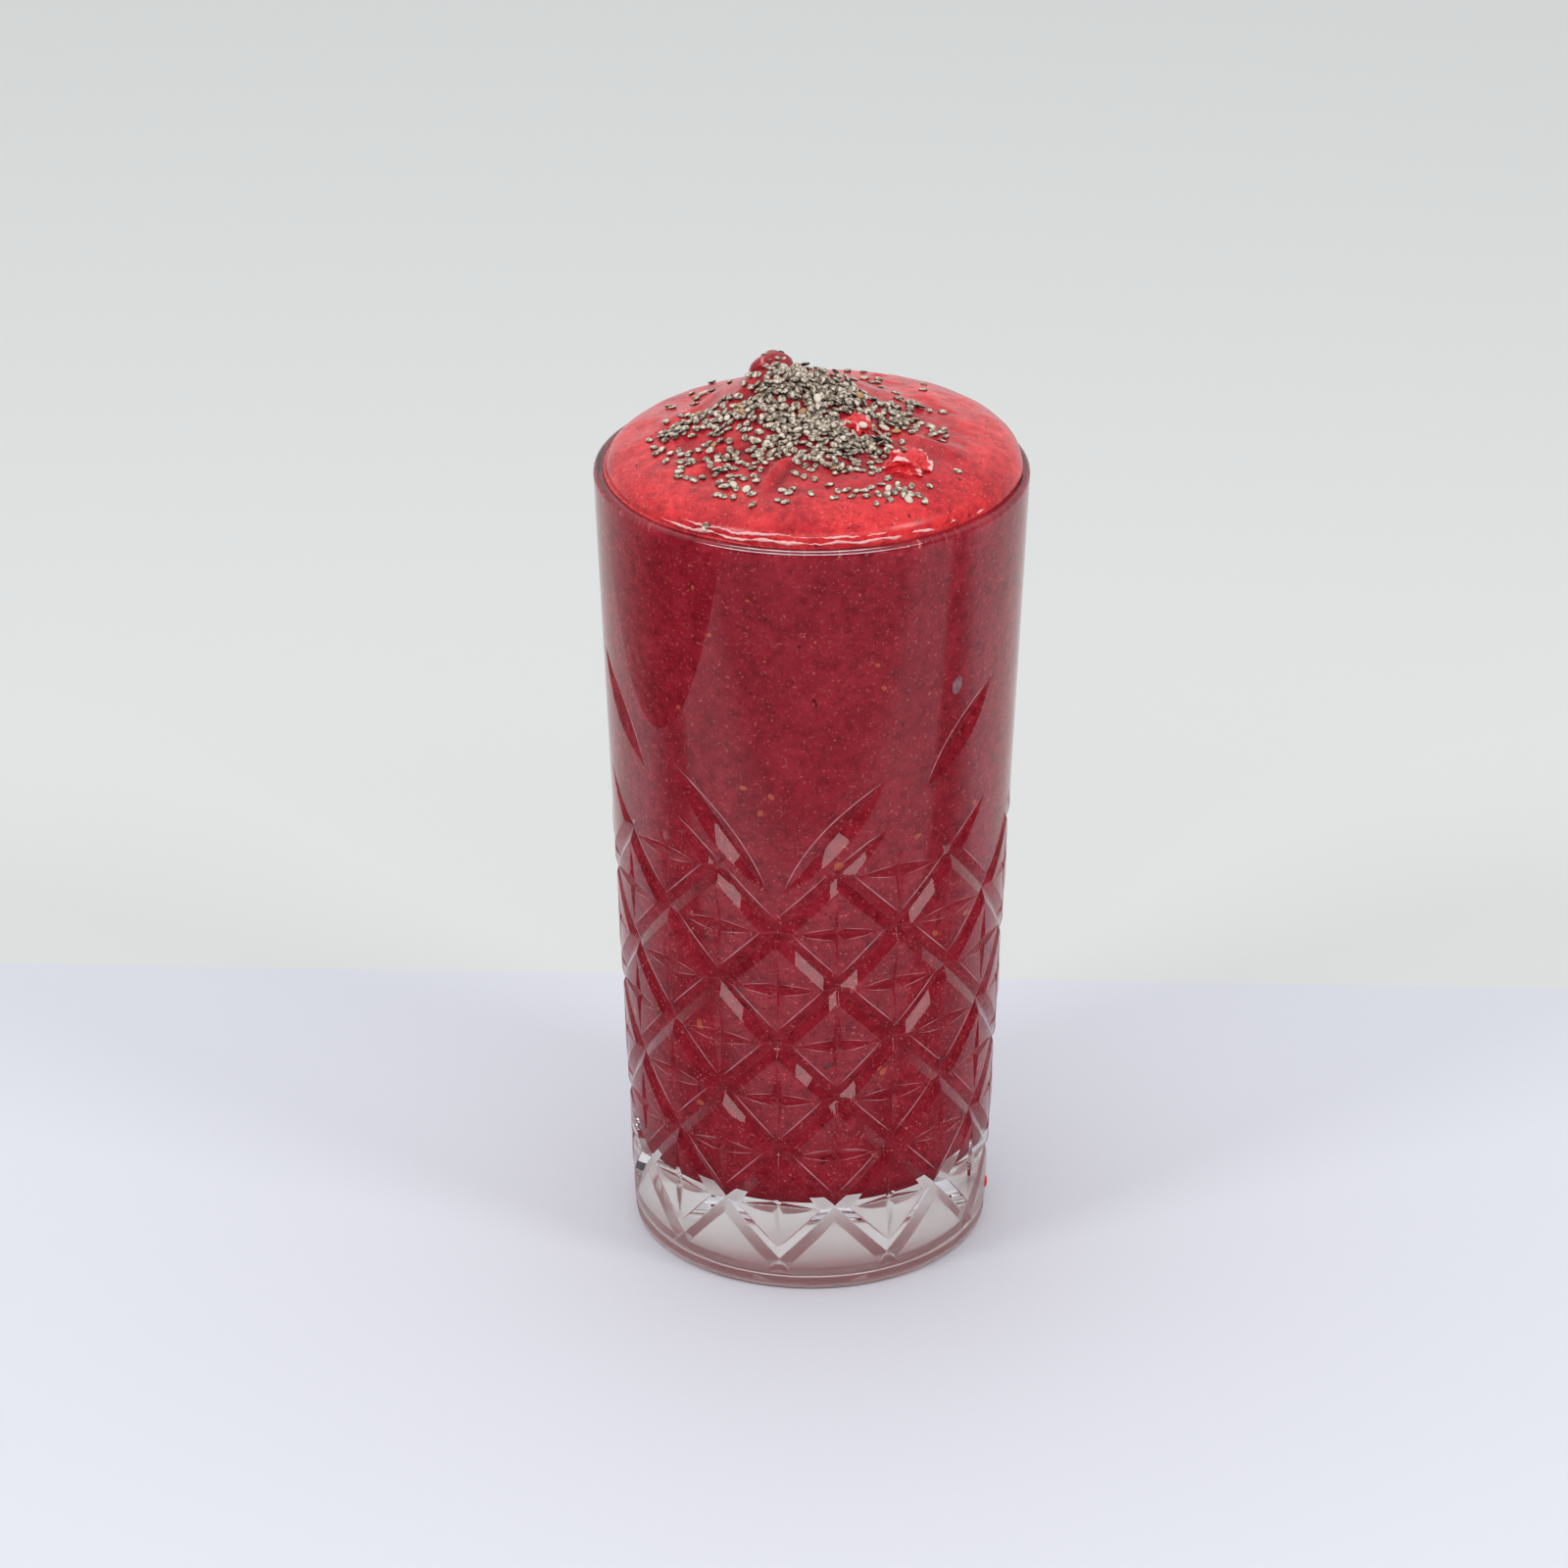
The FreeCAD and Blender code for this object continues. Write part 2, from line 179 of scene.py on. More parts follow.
def turned_surface(profile, sectors, way):
    """Rings of points round Z for a profile of (radius, z), and the faces between them; way is their hand."""
    angles = FIRST_COLUMN + 2 * pi * np.arange(sectors) / sectors
    points = np.concatenate([np.stack([r * np.sin(angles), -r * np.cos(angles), np.full(sectors, z)], 1)
                             for r, z in profile])
    return points, [[a, b, b + sectors, a + sectors][::way] for a, b in neighbours(len(points), sectors)]


# ---- cuts on the unrolled wall

GROOVE_END = 0.104  # how far a groove runs past its end crossings, in rows
# a groove that comes down into a valley: rows past its last crossing, and its share of the full size there
PAST_VALLEY = [(0.25, 0.55), (0.375, 0.0)]
OPEN_STAR, OPEN_STAR_SLOPE = 0.35, 3.9  # upper half of an open star's upright arm, and how fast it ends
LEVEL_FULLNESS, UPRIGHT_FULLNESS, LEAF_FULLNESS = 1.8, 1.4, 2  # how slowly a cut narrows from its middle


class Cut:
    """A straight V cut on the unrolled wall, with share(u) of its full size at the part u of its length."""

    def __init__(self, start, end, width, depth, share):
        self.start = np.array(start, float)
        self.run = np.array(end, float) - self.start
        self.length = float(np.hypot(*self.run))
        self.along = self.run / self.length
        self.across = np.array([-self.along[1], self.along[0]])
        self.half_width = width / 2
        self.depth = depth
        self.share = share

    def depth_at(self, points):
        over = points - self.start
        u = over @ self.along / self.length
        t = np.abs(over @ self.across)
        return np.where((u > 0) & (u < 1), self.depth * (self.share(u) - t / self.half_width), 0.0)

    def spine(self, count, margin):
        """Places along the middle of the cut, and half its width there."""
        u = np.clip(np.arange(count + 1) / count, margin, 1 - margin)
        return self.start + np.outer(u, self.run), self.half_width * np.clip(self.share(u), 0, None)


def bulge(fullness):
    return lambda u: 1 - np.abs(2 * u - 1) ** fullness


def graded(stops):
    places, shares = zip(*stops)
    return lambda u: np.interp(u, places, shares)


def at_row(column, row):
    return column * COLUMN_WIDTH, FIRST_CROSSING + row * CROSSING_PITCH


def groove_cuts():
    """Diagonal grooves both ways from each column; those that come down into a valley run on past it."""
    for start in range(-6, 12):
        for hand in (1, -1):
            climbs = (start + hand * DIAMOND_ROWS) % ZIGZAG
            runs_on = min(climbs, ZIGZAG - climbs) < 2 and (climbs < ZIGZAG / 2) == (hand == 1)
            past_end = PAST_VALLEY if runs_on else [(GROOVE_END, 0.0)]
            stops = [(-GROOVE_END, 0.0), (0.0, 1.0), (DIAMOND_ROWS, 1.0)]
            stops += [(DIAMOND_ROWS + past, share) for past, share in past_end]
            low, high = stops[0][0], stops[-1][0]
            ends = (at_row(start + hand * row, row) for row in (low, high))
            share = graded([((row - low) / (high - low), share) for row, share in stops])
            yield Cut(*ends, GROOVE_WIDTH, GROOVE_DEPTH, share)


def star_places():
    """Middles of the diamonds, and whether each is an open one at the pattern's top."""
    rows = int(2 * DIAMOND_ROWS)
    for row in range(rows):
        for index in range(-3, 7):
            column = index + (row % 2) / 2
            if row < rows - 1 or (column % ZIGZAG) in (1, ZIGZAG - 1):
                yield *at_row(column, (row + 1) / 2), row == rows - 1


def star_cuts():
    def open_upright(u):
        return np.minimum(1 - np.abs(u * (1 + OPEN_STAR) - 1) ** UPRIGHT_FULLNESS, (1 - u) * OPEN_STAR_SLOPE)

    half = STAR_HEIGHT / 2
    for s, z, is_open in star_places():
        ends = (s - STAR_WIDTH / 2, z), (s + STAR_WIDTH / 2, z)
        yield Cut(*ends, LEVEL_ARM, STAR_DEPTH, bulge(LEVEL_FULLNESS))
        top, share = (OPEN_STAR * half, open_upright) if is_open else (half, bulge(UPRIGHT_FULLNESS))
        yield Cut((s, z - half), (s, z + top), UPRIGHT_ARM, STAR_DEPTH, share)


def leaf_cuts():
    for valley in (-ZIGZAG, 0, ZIGZAG):
        for hand in (1, -1):
            for low, z_low, high, z_high in LEAVES:
                start, end = ((valley + hand * column) * COLUMN_WIDTH for column in (low, high))
                yield Cut((start, z_low), (end, z_high), LEAF_WIDTH, LEAF_DEPTH, bulge(LEAF_FULLNESS))


# Half a zigzag is cut once, and copied and mirrored round the glass.
WEDGE = (ZIGZAG / 2) * COLUMN_WIDTH
WEDGE_MARGIN = 6


def touches_wedge(c):
    ends = (c.start[0], c.start[0] + c.run[0])
    return max(ends) > -WEDGE_MARGIN and min(ends) < WEDGE + WEDGE_MARGIN


CUTS = [c for c in (*groove_cuts(), *star_cuts(), *leaf_cuts()) if touches_wedge(c)]


def cut_depth(points):
    return np.maximum.reduce([c.depth_at(points) for c in CUTS], initial=0.0)


def wedge_copies(s):
    """Whether each of the wedge's four copies is mirrored, and the turns round the glass of its places s."""
    for copy in range(4):
        mirrored = copy % 2 == 1
        column = (copy // 2 + mirrored) * ZIGZAG + (-s if mirrored else s) / COLUMN_WIDTH
        yield mirrored, FIRST_COLUMN + column * COLUMN_ANGLE


CREASE_ROUND = 0.11  # creases are rounded over this much each side
CREASE_STEP = 1.1  # between points along a crease
CROSSING_PATCH, STAR_PATCH = (3.2, 0.32), (1.6, 0.2)  # radius of a patch of finer points, and its step
WALL_STEP, WALL_GAP = 1.7, 0.55  # between the other points, and how far they stay from a crease
BORDER_STEPS = 40


def unrolled_wall():
    """Points (along the wall, height) and triangles for the wedge, with lines along every crease."""
    points, edges = [], []

    def inside(p):
        return 0 <= p[0] <= WEDGE and FOOT_HEIGHT < p[1] < CUT_TOP

    def add_point(p, before=None):
        """Adds a point, and an edge to the one before where its number is given."""
        points.append(p)
        if before is not None:
            edges.append((before, len(points) - 1))
        return len(points) - 1

    def side_crossing(a, b):
        """Where a-b crosses a side of the wedge, if one end is inside."""
        if inside(a) == inside(b):
            return None
        near, far = (a, b) if inside(a) else (b, a)
        for side in (0.0, WEDGE):
            if (near[0] - side) * (far[0] - side) < 0:
                share = (side - near[0]) / (far[0] - near[0])
                return np.array([side, near[1] + share * (far[1] - near[1])])
        return None

    def add_line(line):
        before = number = None
        for here in line:
            border = None if before is None else side_crossing(before, here)
            if border is not None:
                number = add_point(border, number)
            number = add_point(here, number) if inside(here) else None
            before = here

    def add_patch(s, z, radius, step):
        count = int(radius / step)
        for i in range(-count, count + 1):
            for j in range(-count, count + 1):
                p = np.array([s + i * step, z + j * step])
                if abs(i) + abs(j) <= count and -1e-6 <= p[0] <= WEDGE + 1e-6:
                    p[0] = min(max(p[0], 0.0), WEDGE)
                    if inside(p):
                        add_point(p)

    for c in CUTS:
        middle, half = c.spine(max(12, int(c.length / CREASE_STEP)), 0.004)
        edge_reaches = [np.where(half > 0.35, half + offset, half * (1 + 0.3 * np.sign(offset)))
                        for offset in (CREASE_ROUND, -CREASE_ROUND)]
        for side in (-1, 1):
            for reach in (*edge_reaches, np.minimum(CREASE_ROUND, half * 0.4)):
                add_line(middle + np.outer(side * reach, c.across))
    for row in range(int(2 * DIAMOND_ROWS) + 1):
        for index in range(4):
            add_patch(*at_row(index + (row % 2) / 2, row / 2), *CROSSING_PATCH)
    for s, z, _ in star_places():
        add_patch(s, z, *STAR_PATCH)
    creases = np.array(points)
    for j, z in enumerate(np.arange(FOOT_HEIGHT + 0.9, CUT_TOP - 0.5, WALL_STEP)):
        for s in np.arange((j % 2) * WALL_STEP / 2, WEDGE + 0.01, WALL_STEP):
            s = min(s, WEDGE)
            if np.min(np.hypot(creases[:, 0] - s, creases[:, 1] - z)) > WALL_GAP:
                add_point(np.array([s, z]))
    ends = []
    for z in (FOOT_HEIGHT, CUT_TOP):
        row = [add_point(np.array([WEDGE * i / BORDER_STEPS, z])) for i in range(BORDER_STEPS + 1)]
        edges.extend(zip(row, row[1:]))
        ends.append((row[0], row[-1]))
    edges.extend(zip(*ends))
    result = delaunay_2d_cdt([Vector(p) for p in points], edges, [], 1, 1e-5, False)
    return np.array([list(v) for v in result[0]]), np.array([list(f) for f in result[2]])


# ---- glass

GLASS_SECTORS = 160
SLOPE_STEP = 0.02  # over which the cuts' slopes are measured


def wall_normals(flat):
    """Directions out of the cut wall at the front of the glass, from its slopes."""
    steps = SLOPE_STEP * np.eye(2)
    along, up = ((cut_depth(flat + step) - cut_depth(flat - step)) / (2 * SLOPE_STEP) for step in steps)
    taper = (RIM_RADIUS - BASE_RADIUS) / GLASS_HEIGHT
    normal = np.stack([along, np.full(len(flat), -1.0), up - taper], 1)
    return normal / np.linalg.norm(normal, axis=1)[:, None]


def cut_wall():
    """Points, normals and triangles of the cut wall in the round."""
    flat, triangles = unrolled_wall()
    radius = wall_radius(flat[:, 1]) - cut_depth(flat)
    along, out, up = wall_normals(flat).T
    points, normals, faces = [], [], []
    for mirrored, turns in wedge_copies(flat[:, 0]):
        c, s = np.cos(turns), np.sin(turns)
        level = -along if mirrored else along
        faces.extend(len(flat) * len(points) + (triangles[:, ::-1] if mirrored else triangles))
        points.append(np.stack([radius * s, -radius * c, flat[:, 1]], 1))
        normals.append(np.stack([level * c - out * s, level * s + out * c, up], 1))
    return np.concatenate(points), np.concatenate(normals), faces


def turned_part(profile, way):
    """Points, normals and faces of a turned part of the glass."""
    points, faces = turned_surface(profile, GLASS_SECTORS, way)
    a, b, c, d = (points[np.array(faces)[:, k]] for k in range(4))
    normals = np.zeros_like(points)
    for k in range(4):
        np.add.at(normals, np.array(faces)[:, k], np.cross(c - a, d - b))
    return points, normals / np.maximum(np.linalg.norm(normals, axis=1)[:, None], 1e-12), faces


def rim_and_cavity():
    inner_top, floor_corner = (RIM_RADIUS - RIM_WALL, GLASS_HEIGHT), (FLOOR_RADIUS, FLOOR_HEIGHT)
    outer_top, outer_low = (RIM_RADIUS, GLASS_HEIGHT), (wall_radius(CUT_TOP), CUT_TOP)
    profile = [(wall_radius(z), z) for z in (CUT_TOP, 130.0, 140.0)]
    profile += rounding(outer_top, outer_low, inner_top, RIM_ROUND, 10)
    profile += rounding(inner_top, outer_top, floor_corner, RIM_ROUND, 10)
    high, down = np.array(inner_top), np.array(floor_corner) - inner_top
    profile += [high + down * share for share in np.linspace(0.05, 0.9, 12)]
    profile += rounding(floor_corner, inner_top, (0, FLOOR_HEIGHT), FLOOR_ROUND, 14)
    return profile + [(r, FLOOR_HEIGHT) for r in (15.0, 8.0, 3.0, AXIS)]


def foot():
    wall_foot = (wall_radius(FOOT_HEIGHT), FOOT_HEIGHT)
    neck = (BEAD_RADIUS - NECK_STEP, (BEAD_HEIGHT + FOOT_HEIGHT) / 2)
    bead_top, bead_low = (BEAD_RADIUS, BEAD_HEIGHT), (BEAD_RADIUS, BEAD_CHAMFER * 0.6)
    ring_edge, ring_inner = (BEAD_RADIUS - BEAD_CHAMFER, 0.0), (REST_RADIUS, 0.0)
    profile = [wall_foot]
    profile += rounding(neck, wall_foot, bead_top, 0.35, 5)
    profile += rounding(bead_top, neck, bead_low, 0.3, 5)
    profile += rounding(bead_low, bead_top, ring_edge, 0.3, 5)
    profile += rounding(ring_edge, bead_low, ring_inner, 0.4, 5)
    profile += [(REST_RADIUS + 0.6, 0.0), ring_inner, (REST_RADIUS - 0.6, 0.12)]
    profile += [(REST_RADIUS - 1.4, PUNT_DEPTH - 0.12), (REST_RADIUS - 2.0, PUNT_DEPTH)]
    return profile + [(r, PUNT_DEPTH) for r in (16.0, 8.0, 3.0, AXIS)]


def make_glass():
    """The whole glass, whose surfaces share the points of the rings where they meet."""
    surfaces = [cut_wall(), turned_part(rim_and_cavity(), 1), turned_part(foot(), -1)]
    points, normals = (np.concatenate([surface[k] for surface in surfaces]) for k in (0, 1))
    number_of, kept, new_number, faces, start = {}, [], [], [], 0
    for index, place in enumerate(map(tuple, np.round(points, 3))):
        if place not in number_of:
            number_of[place] = len(kept)
            kept.append(index)
        new_number.append(number_of[place])
    for surface in surfaces:
        for f in surface[2]:
            corners = list(dict.fromkeys(new_number[start + k] for k in f))
            if len(corners) > 2:
                faces.append(corners)
        start += len(surface[0])
    return make_mesh("glass_body", points[kept], faces, normals[kept])


EDGE_LINE, FINE_EDGE_LINE = 0.10, 0.07  # half thickness of the painted highlight lines along the cuts' edges
EDGE_SUNK = 0.02


def edge_highlight_lines():
    """Runs of places along the edges of the cuts, broken where another cut crosses, and their thickness."""
    for c in CUTS:
        if c.across[1] == 0:
            continue
        middle, half = c.spine(max(16, int(c.length)), 0.01)
        upper = 1 if c.across[1] > 0 else -1
        level = abs(c.along[1]) < 0.01
        sides = [(upper, FINE_EDGE_LINE), (-upper, FINE_EDGE_LINE)] if level else [(upper, EDGE_LINE)]
        for side, size in sides:
            places = middle + np.outer(side * half, c.across)
            kept = (places[:, 0] >= 0) & (places[:, 0] <= WEDGE) & (places[:, 1] > FOOT_HEIGHT + 0.4)
            kept &= (places[:, 1] < CUT_TOP) & (cut_depth(places) < 0.04) & (half > 0.15)
            run = []
            for place, is_kept in zip(places, [*kept[:-1], False]):
                if is_kept:
                    run.append(place)
                    continue
                if len(run) > 3:
                    yield np.array(run), size
                run = []


def make_edge_highlights():
    """Painted highlight lines along the edges of the cuts, half sunk in the wall."""
    tubes = []
    for line, size in edge_highlight_lines():
        s, z = line.T
        last = len(line) - 1
        for _, turns in wedge_copies(s):
            middles = [facing(a) * r + UP * h for a, r, h in zip(turns, wall_radius(z) - EDGE_SUNK, z)]
            rings = []
            for k, middle in enumerate(middles):
                along, out = middles[min(k + 1, last)] - middles[max(k - 1, 0)], facing(turns[k])
                thick = size * (min(1.0, k / 3, (last - k) / 3) + 0.1)
                rings.append(circle(middle, out, along.cross(out).normalized(), thick, 4))
            tubes.append(tube(rings, -1))
    return make_mesh("painted_edge_highlights", *joined(tubes))


RIM_HIGHLIGHTS = [
    # place round the rim's rounding (90 is its top), turns where it starts and ends, thickness
    (72, -25, 21, 0.075),
    (34, -32, 27, 0.060),
]


def thin_line(first, last, count, around, ends, at_turn):
    """A tube round the glass between two turns in degrees; at_turn(turn) gives its radius, height and size, and
    ends is the part of its size at its ends and over how many steps it thins there."""
    rings = []
    for k in range(count + 1):
        turn = radians(first + (last - first) * k / count)
        radius, height, size = at_turn(turn)
        size *= min(1.0, k / ends[1], (count - k) / ends[1]) + ends[0]
        rings.append(circle(facing(turn) * radius + UP * height, facing(turn), UP, size, around))
    return tube(rings)


def make_rim_highlights():
    """Two hair-thin painted highlights on the front of the rim."""
    tubes = []
    for place, first, last, thickness in RIM_HIGHLIGHTS:
        def at_turn(turn):
            up = radians(place)
            radius = RIM_RADIUS - RIM_ROUND + RIM_ROUND * cos(up)
            height = GLASS_HEIGHT - RIM_ROUND + RIM_ROUND * sin(up)
            return radius, height, thickness * (1 + 0.5 * noise_at(turn * 20, place, 0))

        tubes.append(thin_line(first, last, 120, 6, (0.05, 25), at_turn))
    return make_mesh("painted_rim_highlights", *joined(tubes))


# ---- drink

HEAP_SHIFT = 0.45  # how far the heap's edge lies over the rim on +X
RIDGE_GAIN = 1.35
RIDGES = [
    # middle across and back, direction in degrees, half length, half width in front and behind, height
    (-6.6, -21.5, 68, 3.6, 1.0, 1.6, 1.3),
    (-3.4, -18.0, 20, 3.0, 0.8, 1.8, 0.7),
    (4.5, -17.5, -8, 3.2, 0.7, 1.8, 0.9),
    (-18.5, -11.5, 6, 4.5, 0.9, 2.6, 1.0),
    (-18.0, -16.5, 4, 3.2, 0.7, 2.2, 0.8),
    (-11.0, -10.5, 14, 4.0, 0.9, 2.4, 0.8),
    (12.5, -12.0, -42, 6.0, 1.0, 2.6, 0.8),
    (-14.0, 1.0, 28, 8.0, 1.4, 2.8, 0.9),
    (9.0, 2.0, -24, 9.0, 1.4, 3.0, 0.9),
    (20.5, -9.0, -38, 7.0, 1.4, 2.4, 0.55),
    (-23.0, 6.0, 48, 8.0, 1.6, 2.8, 0.55),
    (2.0, 22.0, 10, 9.0, 2.0, 3.0, 0.5),
    (22.0, 10.0, -60, 8.0, 1.8, 2.6, 0.4),
    (-6.4, 5.6, 0, 4.6, 4.4, 4.0, 1.7),
]
OPEN_BUBBLES = [
    # small open bubbles in the surface: middle across and back, radius, height of the ring
    (-27.4, -20.5, 1.5, 0.28),
    (1.8, -30.4, 0.9, 0.2),
    (25.0, -22.0, 1.1, 0.15),
    (-30.0, -9.0, 1.0, 0.18),
    (12.0, 26.0, 1.2, 0.2),
    (-8.0, 30.0, 0.9, 0.2),
]
LUMPS = [
    # size across and back, slant, place in the noise, height
    (7.0, 7.0, 0.0, 3.1, 0.35),
    (6.0, 1.3, 0.35, 5.5, 0.10),
    (2.6, 2.6, 0.0, 7.7, 0.10),
    (0.9, 0.9, 0.0, 1.3, 0.045),
    (0.45, 0.45, 0.0, 2.3, 0.022),
]


def plain_heap(x, y):
    """Height of the solids' heap over the rim: a leaning dome with a folded mound."""
    share = min(hypot(x, y) / HEAP_RADIUS, 1.0)
    shoulder = EDGE_HEIGHT * (1 - share ** 6) ** 0.42
    crown = CROWN_HEIGHT * (1 - share ** 2)
    lean = 1 + HEAP_LEAN * x / HEAP_RADIUS
    over_x, over_y = x - MOUND[0], y - MOUND[1]
    near = min(hypot(over_x, over_y) / MOUND_REACH, 1.0)
    hill = (1 + cos(pi * near)) / 2
    fold = sin(4 * atan2(over_y, over_x) + 9 * near) * sin(pi * near)
    return (shoulder + crown) * lean + (MOUND_HEIGHT * hill ** 1.3 + FOLD_HEIGHT * fold) * (1 - share ** 6)


def heap(x, y):
    """Height of the dressed heap over the rim: the plain one with ridges, open bubbles and lumps."""
    height = plain_heap(x, y)
    fade = 1 - min(hypot(x, y) / HEAP_RADIUS, 1.0) ** 10
    for across, back, turn, half_length, front, behind, rise in RIDGES:
        c, s = cos(radians(turn)), sin(radians(turn))
        u = ((x - across) * c + (y - back) * s) / half_length
        v = -(x - across) * s + (y - back) * c
        v /= front if v < 0 else behind
        if abs(u) < 2.6 and abs(v) < 2.6:
            height += RIDGE_GAIN * rise * exp(-u * u - v * v) * fade
    for across, back, radius, rise in OPEN_BUBBLES:
        off = hypot(x - across, y - back) / radius
        if off < 2.5:
            height += rise * (exp(-((off - 1) / 0.22) ** 2) - 0.8 * exp(-(off / 0.6) ** 2))
    lumps = sum(rise * noise_at(x / across, (slant * x + y) / back, place)
                for across, back, slant, place, rise in LUMPS)
    return height + lumps * fade


def heap_normal(x, y, step=0.25):
    slope_x, slope_y = heap(x - step, y) - heap(x + step, y), heap(x, y - step) - heap(x, y + step)
    return Vector((slope_x, slope_y, 2 * step)).normalized()


DEEP_MIDDLE, DEEP_REACH = (1.0, -8.5), 19.0  # where the heap's colour is deepest
HOLLOW_REACH, HOLLOW_DEPTH = 1.5, 0.45  # how far round a hollow is looked for, and its depth at full painted shade


def deep_red_and_hollow_shade(x, y):
    """Deeper red round the mound, and painted shade in the hollows between ridges: 0 is plain, 1 the deepest.
    """
    if hypot(x, y) > 0.97 * HEAP_RADIUS:
        return 0.0
    off = HOLLOW_REACH
    around = (heap(x + off, y) + heap(x - off, y) + heap(x, y + off) + heap(x, y - off)) / 4
    hollow = min(1.0, max(0.0, (around - heap(x, y)) / HOLLOW_DEPTH))
    near = exp(-((x - DEEP_MIDDLE[0]) ** 2 + (y - DEEP_MIDDLE[1]) ** 2) / DEEP_REACH ** 2)
    return min(1.0, 0.72 * near + 0.8 * hollow)


DRINK_SECTORS = 288
INTO_WALL = 0.12  # how far the fill reaches into the wall, so that no air gap shows
LEAVES_WALL = 1.0  # how far below the rim's rounding the drink lets go of the wall
FILL_LID = 0.02  # how far the fill stays under the rim, inside the heap


def make_fill(sectors):
    """The drink in the glass, up to just under the rim."""
    inner_top, floor = np.array((RIM_RADIUS - RIM_WALL, GLASS_HEIGHT)), np.array((FLOOR_RADIUS, FLOOR_HEIGHT))
    bottom = FLOOR_HEIGHT - INTO_WALL
    corner = rounding(floor + (INTO_WALL, -INTO_WALL), inner_top + (INTO_WALL, 0), (0, bottom), FLOOR_ROUND, 14)
    profile = [(r, bottom) for r in (AXIS, 4.0, 10.0, 16.0)] + corner[::-1]
    low, top = corner[0], inner_top + (INTO_WALL, -RIM_ROUND - LEAVES_WALL)
    profile += [low + (top - low) * share for share in np.linspace(0.03, 1.0, 60)]
    for i in range(1, 7):
        turn = pi / 2 * i / 6
        rise = (RIM_ROUND + LEAVES_WALL - FILL_LID) * sin(turn)
        profile.append((top[0] - 1.6 * (1 - cos(turn)), top[1] + rise))
    profile += [(r, GLASS_HEIGHT - FILL_LID) for r in (HEAP_RADIUS - 3.0, AXIS)]
    return make_mesh("drink_fill", *turned_surface(profile, sectors, -1))


def heap_ring_radii(rings=110, shoulder=6):
    """Radii of the heap's rings from its edge inwards, closest together where it turns down to the rim."""
    for ring in range(1, rings):
        if ring <= shoulder:
            reach = 1 - sin(pi / 2 * (1 - shoulder / rings))
            yield HEAP_RADIUS * (1 - reach * (ring / shoulder) ** 2)
        else:
            yield HEAP_RADIUS * sin(pi / 2 * (1 - ring / rings))


def make_heap(sectors):
    """The heap over the rim, closed underneath."""
    under = [(AXIS, 0.03), (HEAP_RADIUS - 2.0, 0.03), (HEAP_RADIUS - 0.3, 0.02), (HEAP_RADIUS, 0.05)]
    points, faces = turned_surface([(r, GLASS_HEIGHT - z) for r, z in under], sectors, -1)
    points = list(map(tuple, points))
    angles = [FIRST_COLUMN + 2 * pi * k / sectors for k in range(sectors)]
    for radius in heap_ring_radii():
        for angle in angles:
            wobble = 0.16 * noise_at(sin(angle) * 6, cos(angle) * 6, 0.4)
            grow = 1 + (wobble + HEAP_SHIFT * sin(angle)) / HEAP_RADIUS
            x, y = radius * sin(angle), -radius * cos(angle)
            points.append((x * grow, y * grow, GLASS_HEIGHT + heap(x, y)))
    top, edge = len(points), (len(under) - 1) * sectors
    faces += [[b + sectors, a + sectors, a, b] for a, b in neighbours(top, sectors, edge)]
    points.append((0.0, 0.0, GLASS_HEIGHT + heap(0, 0)))
    faces += [[a, b, top] for a, b in neighbours(top + sectors, sectors, top - sectors)]
    # each point carries its deeper red round the mound and its painted shade in hollows
    return make_mesh("drink_heap", points, faces, deep=[deep_red_and_hollow_shade(x, y) for x, y, _ in points])


# painted highlight lines along the heap's wet shoulder
SHOULDER_HIGHLIGHTS = [
    # height over the rim, turns where it starts and ends (degrees from the front), thickness
    (1.0, -46, 78, 0.28),
    (1.9, -38, 66, 0.20),
]


def radius_of_height(turn, height):
    """Where the heap's edge is at a height over the rim, by halving."""
    near, far = 0.80, 1.0
    for _ in range(24):
        middle = (near + far) / 2
        radius = middle * HEAP_RADIUS
        if heap(radius * sin(turn), -radius * cos(turn)) > height:
            near = middle
        else:
            far = middle
    return near * HEAP_RADIUS


def make_shoulder_highlights():
    """Thin wavy painted highlights where the heap turns down to the rim."""
    tubes = []
    for height, first, last, thickness in SHOULDER_HIGHLIGHTS:
        def at_turn(turn):
            up = height + 0.45 * noise_at(turn * 9, height, 1.7)
            up += 0.18 * noise_at(turn * 40, height, 4.1)
            swell = max(0.12, 0.75 + 1.1 * noise_at(turn * 14, height * 3, 8.3))
            return radius_of_height(turn, up), GLASS_HEIGHT + up, thickness * swell

        tubes.append(thin_line(first, last, 260, 7, (0.02, 12), at_turn))
    return make_mesh("painted_shoulder_highlights", *joined(tubes))


# ---- fruit

FRUIT_SWELL = 1.12  # the folds stand a little off the plain solid


